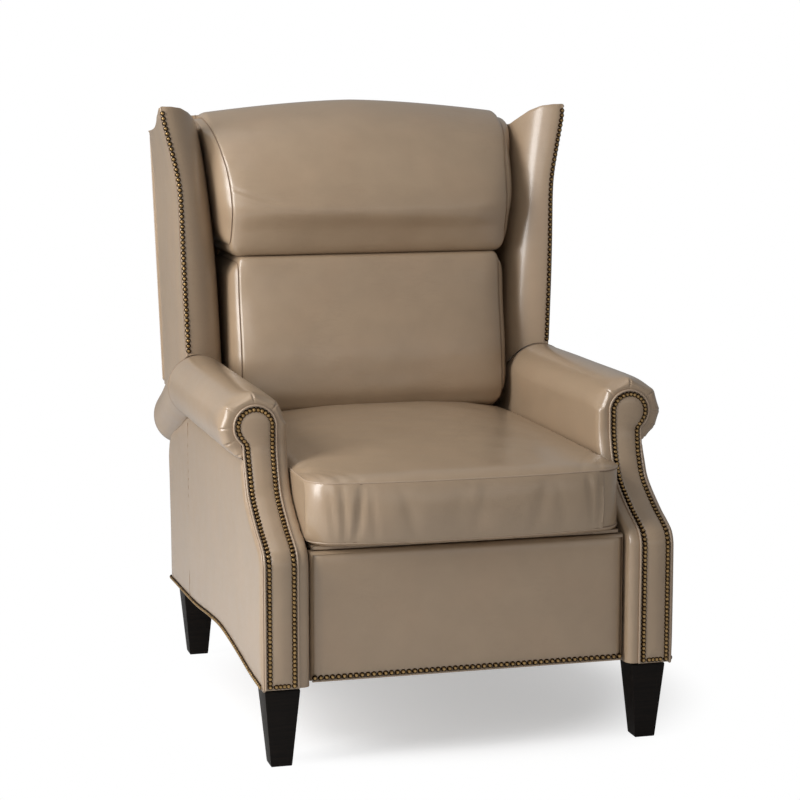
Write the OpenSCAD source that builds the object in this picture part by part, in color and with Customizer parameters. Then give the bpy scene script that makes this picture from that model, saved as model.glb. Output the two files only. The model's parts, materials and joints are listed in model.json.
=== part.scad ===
// High-leg wing recliner. Origin on the floor under the middle of the chair.
// The front of the chair is towards -Y, left and right are as seen from the front.

/* [Seat] */
// Width between the inner faces of the arms
seat_w = 582; // [540:1:640]
// Height of the seat cushion's top seam above the floor
seat_seam_z = 501; // [480:1:520]
// Height of the seat cushion's border between its seams
seat_border = 105; // [85:1:120]
// Rise of the seat cushion's crown over its top seam
seat_crown = 39; // [15:1:50]
// Depth of the seat cushion from front to rear
seat_d = 758; // [700:1:780]

/* [Arms] */
// Width of one arm at its foot, inner face to outer face
arm_w = 85; // [80:1:110]
// Front of the arm post, ahead of the origin
post_front = 444; // [430:1:470]
// Rear of the arm, behind the origin
arm_rear = 473; // [455:1:490]
// Height where the arm front starts to sweep back
knee_z = 372; // [350:1:390]
// Height of the neck under the scroll
neck_z = 534; // [520:1:540]
// How far the scroll is set back from the post
setback = 166; // [120:1:180]
// Height of the arm roll's centre
roll_z = 579; // [575:1:600]
// Radius of the arm roll
roll_r = 61; // [56:1:64]
// Radius of the scroll on the arm's facing
scroll_r = 38; // [32:1:42]

/* [Legs] */
// Height of a leg
leg_h = 140; // [110:1:170]
// Width of a leg at its top
leg_top = 63.5; // [56:0.5:70]
// Width of a leg at its foot
leg_foot = 37.6; // [30:0.1:50]
// Distance of a front leg's middle behind the face of the arm post
leg_inset = 49; // [44:1:60]

/* [Back] */
// Height of the crown of the back above the floor
back_h = 1135; // [1115:1:1160]
// Rear face of the back at its lower edge, behind the origin
back_rear = 495; // [488:1:510]
// Lean of the back's rear face from the vertical, in degrees
back_lean = 3.5; // [2:0.1:5]
// Height of the tip of a wing
wing_tip_z = 1126; // [1100:1:1140]
// Front edge of a wing at its foot, behind the origin
wing_front = 255; // [240:1:275]
// Height of the joint between the lower and the upper back cushion
cushion_joint_z = 830; // [800:1:850]

/* [Motion] */
// Turning angle of the back when fully reclined, in degrees
recline_angle = 30; // [10:1:30]
// Turning angle of the footrest when fully raised, in degrees
raise_angle = 94; // [60:1:94]

/* [Leather and frame] */
// Colour of the leather
leather = "#ab987f"; // ["#ab987f", "#6b4a34", "#2f2b28"]
// Colour of the frame's wood
timber = "#b98f5f"; // ["#b98f5f", "#8f6b45"]
// Colour of the legs
espresso = "#231c19"; // ["#231c19", "#4a2f20"]
// Colour of the steel parts
steel = "#5d6064"; // ["#5d6064", "#8c9094"]

/* [Hidden] */

$fn = 48;

// Gap between pieces that lie on each other
fit = 0.3;
// Running gap round a pin
pin_fit = 0.08;
// Gap round the pin of an open pivot
open_fit = 0.3;
// Overrun of a cut past the face that it goes through
over = 5;
// Front of the seat cushion, ahead of the origin
cushion_front = 458;

// Arm, across the chair
arm_in = seat_w / 2;
arm_out = arm_in + arm_w;
pad_t = 22;
panel_t = 12;
frame_in = arm_in + pad_t + fit;
frame_out = arm_out - panel_t - fit;
frame_t = frame_out - frame_in;
facing_t = 14;
post_t = 44;
roll_in = 64;
scroll_in = 60;
roll_x = arm_in + roll_in;
scroll_x = arm_in + scroll_in;

// Heights of the base
plate_t = 4;
base_z = leg_h + plate_t;
hem_front_gap = 6;
hem_rear_gap = 1;
hem_front_z = leg_h + hem_front_gap;
hem_rear_z = leg_h + hem_rear_gap;
hem_rise = 26;
block_t = 30;
rail_bottom = base_z + block_t;
rail_h = 130;
rail_top = rail_bottom + rail_h;
arm_rail_t = 38;
core_drop = 38;
arm_rail_top = roll_z - core_drop;

// The arm front's sweep, as shares of the setback and of the height from knee to neck
sweep_share = [[0, 0], [0.07, 0.09], [0.34, 0.24], [0.58, 0.38], [0.76, 0.5], [0.85, 0.61],
               [0.92, 0.76], [0.97, 0.88], [1, 1]];

// Where the roll starts to fall towards the rear, and how far it falls
roll_bend = 245;
roll_rear = 492;
roll_fall = 90;
roll_fall_share = 1.2;
roll_lead = 6;
roll_front = post_front - setback + roll_lead;

// Back
back_bottom = 285;
panel_back_t = 10;
back_side_gap = 5;
back_w_low = arm_in - back_side_gap;
wing_drop = 62;
wing_rear_foot = 572;
wing_rear_lap = 7;
wing_rear_out = arm_out + wing_rear_lap;
outside_step = 5;
outside_arm_h = wing_rear_foot + outside_step - back_bottom;
outside_side_h = wing_tip_z - wing_drop - back_bottom;
outside_rise = 30;
// The middle of the whole chair lies this far behind the origin of the sizes above
mid_back = (back_rear + (outside_side_h + outside_rise) * sin(back_lean) - cushion_front) / 2;
post_back_d = 45;
post_back_t = 26;
post_side_gap = 18.5;
post_back_out = arm_in - post_side_gap;
wing_gap = 5;

// Side plates and linkage planes, half distances from the middle of the chair
plate_side_gap = 23;
plate_in = arm_in - plate_side_gap;
steel_t = 4;
plane_gap = 1;
plane_1 = plate_in - plane_gap - steel_t;
plane_2 = plane_1 - plane_gap - steel_t;
plane_3 = plane_2 - plane_gap - steel_t;
plane_4 = plane_3 - plane_gap - steel_t;
rivet_r = 4.5;
link_w = 20;

// Seat frame heights
deck_t = 3;
ring_t = 22;
deck_top = seat_seam_z - seat_border - fit;
ring_top = deck_top - deck_t - fit;
ring_bottom = ring_top - ring_t;
ring_w = 45;
ring_in = 2;
ring_out = plate_in + steel_t - ring_in;
pivot_drop = 14;
pivot_z = ring_bottom - steel_t - pivot_drop;

// Seat frame, front to rear
ring_front = 365;
ring_rear = 330;

// Footrest linkage: run and drop of its links at rest
pivot_front = 285;
link_spacing = 60;
link_run = 81;
link_drop = 170;
carrier_run = 158;
carrier_rise = 95;
crank_run = 21;
crank_rise = 51;
front_pivot = [-pivot_front, pivot_z];
rear_pivot = front_pivot - [link_spacing, 0];
knee = front_pivot + [link_run, -link_drop];
rear_knee = rear_pivot + [link_run, -link_drop];
bracket_low = knee + [-carrier_run, carrier_rise];
crank_end = knee + [crank_run, crank_rise];
bracket_high = bracket_low + [crank_run, crank_rise];

// Footrest panel
rest_gap = 2;
rest_front = 428;
rest_clear = 11;
rest_lap = 5;
rest_bottom = leg_h + rest_clear;
rest_top = ring_bottom + rest_lap;
rest_pad_t = 28;
rest_board_t = 16;

// Back hinge
hinge_y = 410;
hinge_drop = 12;
hinge_z = pivot_z - hinge_drop;
hinge_r = 6;

// Glide channels
track_h = 32;
track_t = 3;
track_drop = 56;
track_z = hinge_z - track_drop;
track_front = 185;
track_rear = 300;
shoe_fit = 0.15;
shoe_d = 50;
shoe_front = -120;
shoe_rear = 250;

function lerp(a, b, t) = a + (b - a) * t;
function mean(list, i = 0) = i == len(list) ? 0 * list[0] : list[i] + mean(list, i + 1);
function arc(centre, r, a0, a1, n) =
  [for (i = [0:n]) centre + r * [cos(lerp(a0, a1, i / n)), sin(lerp(a0, a1, i / n))]];

// Puts a piece drawn about that origin into the chair's own frame
module at_mid() translate([0, -mid_back, 0]) children();

// Draws the left one of a pair that is described on the right
module on_side(left) mirror([left ? 1 : 0, 0, 0]) children();
module both() {
  children();
  mirror([1, 0, 0]) children();
}

// Extrudes an outline drawn in (y, z) along X from x, and one drawn in (x, z) along Y from y
module across(x, t) translate([x, 0, 0]) rotate([90, 0, 90]) linear_extrude(t) children();
module along(y, t) translate([0, y + t, 0]) rotate([90, 0, 0]) linear_extrude(t) children();

// Closed skin over a stack of rings of points
module skin(rings) {
  n = len(rings[0]);
  m = len(rings);
  points = concat([for (r = rings) each r], [mean(rings[0]) / n, mean(rings[m - 1]) / n]);
  walls = [for (i = [0:m - 2], j = [0:n - 1]) let (k = (j + 1) % n)
    each [[i * n + j, (i + 1) * n + k, i * n + k], [i * n + j, (i + 1) * n + j, (i + 1) * n + k]]];
  caps = [for (j = [0:n - 1]) let (k = (j + 1) % n)
    each [[m * n, j, k], [m * n + 1, (m - 1) * n + k, (m - 1) * n + j]]];
  polyhedron(points, concat(walls, caps));
}

// Front edge of the arm, moved back by a distance, from a height at its foot to one above the neck
function sweep(back, foot_z, head_z) = concat(
  [[back - post_front, foot_z]],
  [for (s = sweep_share) [back - post_front + setback * s[0], lerp(knee_z, neck_z, s[1])]],
  [[back - post_front + setback, head_z]]);

// Centre height of the roll, and the height of its underside over the outer panel
function fall_at(y) = lerp(0, roll_fall, pow(max(0, (y - roll_bend) / (roll_rear - roll_bend)), roll_fall_share));
function roll_centre(y) = roll_z - fall_at(y);
roll_under = sqrt(pow(roll_r, 2) - pow(arm_out - roll_x, 2));
roll_step_share = [0, 0.22, 0.43, 0.63, 0.79];
roll_steps = [for (s = roll_step_share) lerp(roll_bend, roll_rear, s)];

// Legs

module leg_blank(w_top, w_foot)
  polygon([[-w_foot / 2, 0], [w_foot / 2, 0], [w_top / 2, leg_h], [-w_top / 2, leg_h]]);

leg_lap = 7;
leg_x = frame_in + leg_top / 2 - leg_lap;
rear_leg_inset = 78;
leg_y = [-post_front + leg_inset, arm_rear - rear_leg_inset];

module leg(side, end) at_mid() color(espresso)
  translate([side * leg_x, leg_y[end], 0]) difference() {
    intersection() {
      along(-leg_top / 2, leg_top) leg_blank(leg_top, leg_foot);
      across(-leg_top / 2, leg_top) leg_blank(leg_top, leg_foot);
    }
    translate([0, 0, leg_h - bolt_depth]) cylinder(r = bolt_r, h = bolt_depth + over);
  }
module leg_front_left() leg(-1, 0);
module leg_front_right() leg(1, 0);
module leg_rear_left() leg(-1, 1);
module leg_rear_right() leg(1, 1);

bolt_r = 4;
bolt_depth = 40;
bolt_grip = 22;
leg_plate_w = 49;
screw_r = 2.2;
screw_inset = 8;

module at_legs() for (side = [-1, 1], y = leg_y) translate([side * leg_x, y, 0]) children();

module leg_plates() at_mid() color(steel) at_legs() difference() {
  translate([-leg_plate_w / 2, -leg_plate_w / 2, leg_h]) cube([leg_plate_w, leg_plate_w, plate_t]);
  translate([0, 0, leg_h - over]) cylinder(r = bolt_r + pin_fit, h = plate_t + 2 * over);
  for (x = [-1, 1], y = [-1, 1])
    translate([x, y, 0] * (leg_plate_w / 2 - screw_inset) + [0, 0, leg_h - over])
      cylinder(r = screw_r, h = plate_t + 2 * over);
}

module leg_bolts() at_mid() color(steel) at_legs()
  translate([0, 0, leg_h - bolt_depth + fit]) cylinder(r = bolt_r - pin_fit, h = bolt_depth + bolt_grip);

module corner_blocks() at_mid() color(timber) at_legs() difference() {
  translate([-leg_plate_w / 2, -leg_plate_w / 2, base_z]) cube([leg_plate_w, leg_plate_w, block_t - fit]);
  translate([0, 0, base_z - over]) cylinder(r = bolt_r + pin_fit, h = block_t + 2 * over);
}

// Arm frames

side_rail_t = 22;
rear_post_front = arm_rear - panel_t - post_t;

module side_rail(left) at_mid() on_side(left) color(timber)
  translate([frame_in, leg_y[0] - leg_plate_w / 2, rail_bottom])
    cube([side_rail_t, rear_post_front - fit - leg_y[0] + leg_plate_w / 2, rail_h]);
module side_rail_left() side_rail(true);
module side_rail_right() side_rail(false);

post_head = arm_rail_top - arm_rail_t - fit;

module front_post(left) at_mid() on_side(left) color(timber)
  across(frame_in + side_rail_t + fit, frame_t - side_rail_t - fit) polygon(concat(
    [for (p = sweep(facing_t + fit, rail_bottom, neck_z)) if (p[1] < post_head) p],
    [[facing_t + fit - post_front + setback, post_head], [post_t - post_front + setback, post_head]],
    [[post_t + post_t - post_front, knee_z], [post_t + post_t - post_front, rail_bottom]]));
module front_post_left() front_post(true);
module front_post_right() front_post(false);

rear_post_head = arm_rail_top - fall_at(rear_post_front + post_t) - arm_rail_t - fit;

module rear_post(left) at_mid() on_side(left) color(timber)
  translate([frame_in, rear_post_front, rail_bottom]) cube([frame_t, post_t, rear_post_head - rail_bottom]);
module rear_post_left() rear_post(true);
module rear_post_right() rear_post(false);

// Line along the top of the arm rail, lowered by a distance
function rail_line(drop) = [
  [facing_t + fit - post_front + setback, arm_rail_top - drop],
  [roll_bend, arm_rail_top - drop],
  each [for (y = roll_steps) if (y > roll_bend) [y, arm_rail_top - fall_at(y) - drop]],
  [rear_post_front + post_t, arm_rail_top - fall_at(rear_post_front + post_t) - drop]];
function reversed(list) = [for (i = [len(list) - 1:-1:0]) list[i]];

module arm_rail(left) at_mid() on_side(left) color(timber)
  across(frame_in, frame_t) polygon(concat(rail_line(0), reversed(rail_line(arm_rail_t))));
module arm_rail_left() arm_rail(true);
module arm_rail_right() arm_rail(false);

cross_rail_y = -150;
cross_rail_h = 44;

module cross_rail() at_mid() color(timber)
  translate([-frame_in + fit, cross_rail_y, rail_bottom]) cube([2 * (frame_in - fit), post_t, cross_rail_h]);

rear_rail_h = 76;

module rear_rail() at_mid() color(timber)
  translate([-frame_in + fit, rear_post_front, rail_bottom]) cube([2 * (frame_in - fit), post_t, rear_rail_h]);

// Arm covers

hem_n = 10;
corner_r = 42;
function hem(y0, y1) = [for (i = [0:hem_n]) let (t = i / hem_n)
  [lerp(y0, y1, t), lerp(hem_front_z, hem_rear_z, t) + hem_rise * pow(sin(180 * t), 1.3)]];

module outer_side(left) at_mid() on_side(left) color(leather)
  across(arm_out - panel_t, panel_t) intersection() {
    polygon(concat(
      reversed(hem(facing_t + fit - post_front, arm_rear)),
      [for (p = sweep(facing_t + fit, hem_front_z, roll_z)) if (p[1] > hem_front_z) p],
      [[roll_bend, roll_z], [arm_rear, roll_z]]));
    polygon(concat(
      [[-post_front, 0], [-post_front, roll_z - roll_under - fit]],
      [for (y = roll_steps) if (y < arm_rear - corner_r) [y, roll_centre(y) - roll_under - fit]],
      reversed(arc([arm_rear - corner_r, roll_centre(arm_rear - corner_r) - roll_under - corner_r - fit],
        corner_r, 0, 90, 6)),
      [[arm_rear, 0]]));
  }
module outer_side_left() outer_side(true);
module outer_side_right() outer_side(false);

pad_recess = 4;
pad_strip = 36;
pad_foot_rise = 22;
pad_head_drop = 4;
pad_bottom = track_z + track_h / 2 + pad_foot_rise;
pad_top = roll_z - pad_head_drop;

module inner_arm_outline(grow)
  polygon(concat(
    [for (p = sweep(pad_recess, hem_front_z, pad_top + grow)) p],
    [[roll_bend, pad_top + grow]],
    [for (y = roll_steps) if (y > roll_bend) [y, pad_top - fall_at(y) + grow]],
    [[arm_rear - fit, pad_top - fall_at(arm_rear) + grow], [arm_rear - fit, pad_bottom],
     [pad_recess + pad_strip - post_front, pad_bottom], [pad_recess + pad_strip - post_front, hem_front_z]]));

module inner_arm(left) at_mid() on_side(left) color(leather) across(arm_in, pad_t) inner_arm_outline(0);
module inner_arm_left() inner_arm(true);
module inner_arm_right() inner_arm(false);

neck_out = 6;
neck_share = 0.45;

module facing_front(grow) {
  translate([scroll_x, roll_z]) circle(scroll_r + grow);
  polygon([[arm_in + pad_t - grow + fit, hem_front_z], [arm_out + grow, hem_front_z], [arm_out + grow, knee_z],
    [arm_out - neck_out * neck_share + grow, lerp(knee_z, neck_z, neck_share)],
    [arm_out - neck_out + grow, neck_z], [arm_out - neck_out + grow, roll_z],
    [arm_in + pad_t - grow + fit, roll_z]]);
}

module facing(left) at_mid() on_side(left) color(leather) intersection() {
  along(-post_front - over, setback + facing_t + 2 * over) facing_front(0);
  across(arm_in, arm_w + scroll_r) polygon(concat(
    sweep(0, hem_front_z - over, roll_z + scroll_r + over),
    reversed(sweep(facing_t, hem_front_z - over, roll_z + scroll_r + over))));
}
module facing_left() facing(true);
module facing_right() facing(false);

roll_n = 24;
roll_lip = 8;
// Stations along the roll: place, and share of the radius that the end rounding leaves
roll_stations = concat(
  [[-roll_front - roll_lip, 0.86], [-roll_front - roll_lip * 0.6, 0.95], [-roll_front + roll_lip, 1]],
  [for (y = roll_steps) [y, 1]],
  [[roll_rear - roll_lip * 3, 0.985], [roll_rear - roll_lip, 0.94], [roll_rear, 0.84]]);

function roll_ring(y, share) = [for (i = [0:roll_n - 1]) let (a = 360 * i / roll_n)
  [roll_x + roll_r * share * sin(a), y, roll_centre(y) + roll_r * share * cos(a)]];

module arm_roll(left) at_mid() on_side(left) color(leather) difference() {
  skin([for (s = roll_stations) roll_ring(s[0], s[1])]);
  across(arm_in - over, arm_w + over + fit) polygon(concat(
    [[-post_front, 0], [-post_front, arm_rail_top + fit], [facing_t - post_front + setback, arm_rail_top + fit]],
    rail_line(-fit), [[roll_rear + over, arm_rail_top - fall_at(roll_rear + over) + fit], [roll_rear + over, 0]]));
  across(arm_in - over, pad_t + over + 2 * fit) inner_arm_outline(fit);
  along(-post_front, setback + facing_t + fit) facing_front(fit);
}
module arm_roll_left() arm_roll(true);
module arm_roll_right() arm_roll(false);

module rear_arm_panels() at_mid() both() color(leather)
  translate([frame_in, arm_rear - panel_t + fit, hem_rear_z])
    cube([frame_t, panel_t - 2 * fit, rear_post_head - hem_rear_z]);

lower_panel_gap = 29;
lower_panel_top = back_bottom - lower_panel_gap;

module lower_back_panel() at_mid() color(leather)
  translate([-frame_in + fit, arm_rear - panel_t + fit, hem_rear_z])
    cube([2 * (frame_in - fit), panel_t - 2 * fit, lower_panel_top - hem_rear_z]);

track_gap = 18;
track_in = plate_in + steel_t + track_gap;

module glide_track(left) at_mid() on_side(left) color(steel) difference() {
  translate([track_in, -track_front, track_z - track_h / 2])
    cube([frame_in - track_in - fit, track_front + track_rear, track_h]);
  translate([track_in - over, -track_front - over, track_z - track_h / 2 + track_t])
    cube([frame_in - track_in - fit - track_t + over, track_front + track_rear + 2 * over, track_h - 2 * track_t]);
}
module glide_track_left() glide_track(true);
module glide_track_right() glide_track(false);

// Seat

hub_r = 20;
plate_front_r = 16;

module bar(a, b, w) {
  d = (b - a) / norm(b - a) * w / 2;
  s = [-d[1], d[0]];
  polygon([a + s, b + s, b - s, a - s]);
  translate(a) circle(w / 2);
  translate(b) circle(w / 2);
}

plate_low = track_z - track_h / 2 + track_t + shoe_fit;
plate_slot_w = 30;

module side_plate(left) at_mid() on_side(left) color(steel) {
  difference() {
    across(plate_in, steel_t) {
      polygon([[rear_pivot[0] - plate_front_r, ring_bottom - steel_t],
        [rear_pivot[0] - plate_front_r, pivot_z - plate_front_r],
        [front_pivot[0] + plate_front_r, pivot_z - plate_front_r], [shoe_front - shoe_d / 2, plate_low],
        [shoe_rear + shoe_d / 2, plate_low], [hinge_y, hinge_z - hub_r], [hinge_y, ring_bottom - steel_t]]);
      translate([hinge_y, hinge_z]) circle(hub_r);
    }
    across(plate_in - over, steel_t + 2 * over) {
      translate(front_pivot) circle(rivet_r + pin_fit);
      translate(rear_pivot) circle(rivet_r + pin_fit);
      translate([hinge_y, hinge_z]) circle(hinge_r + pin_fit);
      for (y = [shoe_front, shoe_rear]) translate([y, track_z]) circle(bolt_r + pin_fit);
      bar([shoe_front + shoe_d, lerp(plate_low, ring_bottom, 0.5)],
        [shoe_rear - shoe_d, lerp(plate_low, ring_bottom, 0.5)], plate_slot_w);
    }
  }
  translate([ring_out - ring_w, -ring_front, ring_bottom - steel_t])
    cube([plate_in + steel_t - ring_out + ring_w, ring_front + ring_rear, steel_t - fit]);
}
module side_plate_left() side_plate(true);
module side_plate_right() side_plate(false);

tube_r = 11;
tube_wall = 1.6;

module cross_tube() at_mid() color(steel) translate([0, ring_rear - 2 * tube_r, pivot_z - tube_r])
  rotate([0, 90, 0]) difference() {
    cylinder(r = tube_r, h = 2 * (plate_in - fit), center = true);
    cylinder(r = tube_r - tube_wall, h = 2 * (plate_in + over), center = true);
  }

module glide_shoes() at_mid() both() color("#ece8dd") for (y = [shoe_front, shoe_rear]) difference() {
  translate([plate_in + steel_t + fit, y - shoe_d / 2, plate_low])
    cube([frame_in - track_t - plate_in - steel_t - 3 * fit, shoe_d, track_h - 2 * track_t - 2 * shoe_fit]);
  translate([plate_in, y, track_z]) rotate([0, 90, 0]) cylinder(r = bolt_r + pin_fit, h = pad_t + pad_t);
}

bolt_head_r = 7;
bolt_head_t = 4;
bolt_end_gap = 2;

module shoe_bolts() at_mid() both() color(steel) for (y = [shoe_front, shoe_rear])
  translate([plate_in - fit, y, track_z]) rotate([0, 90, 0]) {
    cylinder(r = bolt_r, h = frame_in - track_t - plate_in - bolt_end_gap);
    translate([0, 0, -bolt_head_t]) cylinder(r = bolt_head_r, h = bolt_head_t);
  }

module seat_rail_across(y) at_mid() color(timber)
  translate([-ring_out, y, ring_bottom]) cube([2 * ring_out, ring_w, ring_t]);
module seat_front_rail() seat_rail_across(-ring_front);
module seat_rear_rail() seat_rail_across(ring_rear - ring_w);
module seat_side_rails() at_mid() both() color(timber)
  translate([ring_out - ring_w, -ring_front + ring_w + fit, ring_bottom])
    cube([ring_w, ring_front + ring_rear - 2 * ring_w - 2 * fit, ring_t]);

// Flat serpentine spring, drawn in a plane, that runs along its first axis
wire_r = 1.9;
loop_r = 12;

module serpentine(length, loops) {
  pitch = length / loops;
  bend_r = pitch / 2;
  for (i = [0:loops - 1]) translate([(i + 0.5) * pitch, (i % 2 == 0 ? 1 : -1) * loop_r]) intersection() {
    difference() {
      circle(bend_r + wire_r);
      circle(bend_r - wire_r);
    }
    translate([-pitch, i % 2 == 0 ? 0 : -pitch]) square([2 * pitch, pitch]);
  }
  for (i = [0:loops]) translate([i * pitch - wire_r, -loop_r]) square([2 * wire_r, 2 * loop_r]);
}

spring_n = 5;
spring_loops = 16;
seat_spring_l = ring_front + ring_rear - 2 * ring_w - 2 * fit - 2 * wire_r;

module seat_springs() at_mid() color(steel) for (i = [0:spring_n - 1])
  translate([lerp(-1, 1, (i + 0.5) / spring_n) * (ring_out - ring_w),
    -ring_front + ring_w + fit + wire_r, ring_top - 3 * wire_r])
    rotate([0, 0, 90]) linear_extrude(2 * wire_r) serpentine(seat_spring_l, spring_loops);

module seat_deck() at_mid() color("#3a3836")
  translate([-ring_out, -ring_front, ring_top + fit])
    cube([2 * ring_out, ring_front + ring_rear, deck_t - fit]);

// Cushions, as outlines in (y, z) at stations across the width, each running from its front foot over
// the top to the rear. A station is a share of the half width.
cushion_x_share = [-1, -0.985, -0.95, -0.88, -0.7, -0.45, -0.2, 0.2, 0.45, 0.7, 0.88, 0.95, 0.985, 1];
function fullness(s, power) = 1 - pow(abs(s), power);

corner_pull = 30;
border_bulge = 4;
seat_under = 8;
seat_front_share = [[5, -1], [1.6, -0.6], [0.3, 0], [0, 0.25], [0.1, 0.6], [0.4, 0.93], [1.4, 1]];
seat_top_share = [[0.03, 0.14], [0.09, 0.3], [0.2, 0.52], [0.36, 0.74], [0.55, 0.92], [0.72, 1], [0.82, 0.93],
                  [0.86, 0.74], [0.885, 0.2]];

function seat_ring(s) = let (
    f = fullness(s, 9), c = fullness(s, 2.6), low = seat_seam_z - seat_border,
    front = -cushion_front + corner_pull * (1 - f), deck_edge = -ring_front - 3 * fit)
  [for (p = reversed(concat(
    [[deck_edge, low + fit], [deck_edge - border_bulge, low - seat_under * f]],
    [for (q = seat_front_share) [front + border_bulge * q[0],
      low + (q[1] < 0 ? seat_under * f : seat_border) * q[1]]],
    [for (q = seat_top_share) [front + seat_d * q[0], seat_seam_z + seat_crown * c * q[1]]],
    [[seat_d - cushion_front, seat_seam_z + seat_under / 2], [seat_d - cushion_front, low + fit]])))
    [s * (arm_in - 2 * fit), p[0], p[1]]];

module seat_cushion() at_mid() color(leather) skin([for (s = cushion_x_share) seat_ring(s)]);

module hinge_pins() at_mid() both() color(steel) translate([plate_in, hinge_y, hinge_z]) rotate([0, 90, 0]) {
  translate([0, 0, -fit]) cylinder(r = hinge_r, h = 2 * steel_t + plane_gap + 2 * fit);
  translate([0, 0, -fit - bolt_head_t]) cylinder(r = hinge_r + bolt_head_t, h = bolt_head_t);
  translate([0, 0, 2 * steel_t + plane_gap + fit]) cylinder(r = hinge_r + bolt_head_t, h = bolt_head_t);
}

// Back

// Pieces of the back are drawn against its upright rear face, then leaned
module leaning() translate([0, back_rear, back_bottom]) rotate([-back_lean, 0, 0]) children();
function rear_at(z) = back_rear + tan(back_lean) * (z - back_bottom);

back_front_d = panel_back_t + fit + post_back_d;
joint_gap = 2;
back_crown = 31;
upper_side_top = back_h - back_crown;
wrap_low_share = 0.81;
post_top_gap = 10;
back_post_h = lerp(cushion_joint_z + joint_gap, upper_side_top, wrap_low_share) - post_top_gap - back_bottom;

bracket_bolt_share = [0, 3];

module back_brackets() at_mid() both() color(steel) difference() {
  across(plate_in + steel_t + plane_gap, steel_t) {
    translate([hinge_y, hinge_z]) circle(hub_r);
    polygon([[hinge_y, hinge_z - hub_r], [rear_at(hinge_z) - back_front_d + steel_t, back_bottom + hub_r],
      [rear_at(hinge_z) - panel_back_t - steel_t, back_bottom + hub_r],
      [rear_at(hinge_z) - panel_back_t - steel_t, hinge_z + 4 * hub_r],
      [rear_at(hinge_z) - back_front_d + 2 * steel_t, hinge_z + 4 * hub_r], [hinge_y, hinge_z + hub_r]]);
  }
  across(plate_in, 2 * pad_t) {
    translate([hinge_y, hinge_z]) circle(hinge_r + pin_fit);
    for (s = bracket_bolt_share)
      translate([rear_at(hinge_z) - back_front_d / 2, hinge_z + s * hub_r]) circle(bolt_r);
  }
}

module back_posts() at_mid() leaning() both() color(timber)
  translate([post_back_out - post_back_t, -back_front_d, fit]) cube([post_back_t, post_back_d, back_post_h]);

rail_back_h = 46;
back_rail_h = [20, 345, back_post_h - rail_back_h];

module back_rails() at_mid() leaning() color(timber) for (h = back_rail_h)
  translate([-post_back_out + post_back_t + fit, -back_front_d, h])
    cube([2 * (post_back_out - post_back_t - fit), post_back_d, rail_back_h]);

back_spring_n = 4;
spring_in = 6;
back_spring_loops = [7, 9];

module back_springs() at_mid() leaning() color(steel) for (i = [0:back_spring_n - 1], k = [0, 1]) {
  low = back_rail_h[k] + rail_back_h + fit + wire_r;
  translate([lerp(-1, 1, (i + 0.5) / back_spring_n) * (post_back_out - post_back_t),
    -back_front_d + spring_in + 2 * wire_r, low])
    rotate([90, -90, 0]) linear_extrude(2 * wire_r)
      serpentine(back_rail_h[k + 1] - low - fit - wire_r, back_spring_loops[k]);
}

// Wings
wing_foot = 639;
wing_in_lap = 7;
wing_out_gap = 2;
wing_in = arm_in + wing_in_lap;
wing_out_foot = arm_out - wing_out_gap;
// Points round a wing, from its inner rear corner round the front edge to its outer rear corner: share
// of its thickness from the inner face, share of its depth from the front, and share of the drop of its
// top edge from the tip
wing_share = [[0, 1, 0.8], [0, 0.55, 0.78], [0, 0.25, 0.7], [0.1, 0.14, 0.6], [0.38, 0.06, 0.48],
              [0.6, 0.016, 0.3], [0.76, 0, 0.12], [0.9, 0.004, 0.02], [0.98, 0.018, 0], [1, 0.045, 0.05],
              [1, 0.14, 0.38], [1, 0.3, 0.68], [1, 0.6, 0.9], [1, 1, 1]];
wing_rise_share = [0, 0.1, 0.25, 0.4, 0.55, 0.7, 0.8, 0.88, 0.95, 1];

// Outward flare of a wing's inner face, of its outer front edge and of its outer rear edge, and how far
// its front edge leans back, from foot to tip
wing_flare = 22;
wing_out_rise = 8;
wing_out_flare = 32;
wing_rear_flare = 15;
wing_lean = 13;
wing_curl = 22;
function wing_inner(t) = wing_in + wing_flare * t;
function wing_outer(t, deep) = lerp(
  wing_out_foot + wing_out_rise * t + wing_out_flare * pow(max(t, 0), 4.5),
  wing_rear_out + wing_rear_flare * t, deep);
function wing_face(t) = wing_front + wing_lean * t + wing_curl * pow(max(t, 0), 4);
function wing_under(y) = max(roll_centre(y) + roll_r + wing_gap, wing_rear_foot);
function wing_ring(t) = [for (p = wing_share) let (
    rear = rear_at(lerp(wing_foot, wing_tip_z, t)) - panel_back_t - 2 * fit,
    y = lerp(wing_face(t), rear, p[1]), z = lerp(wing_under(y), wing_tip_z - wing_drop * p[2], t),
    u = (z - wing_foot) / (wing_tip_z - wing_foot))
  [lerp(wing_inner(u), wing_outer(u, p[1]), p[0]),
   lerp(wing_face(u), rear_at(z) - panel_back_t - 2 * fit, p[1]), z]];

module wing(left) at_mid() on_side(left) color(leather) skin([for (t = wing_rise_share) wing_ring(t)]);
module wing_left() wing(true);
module wing_right() wing(false);

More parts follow.
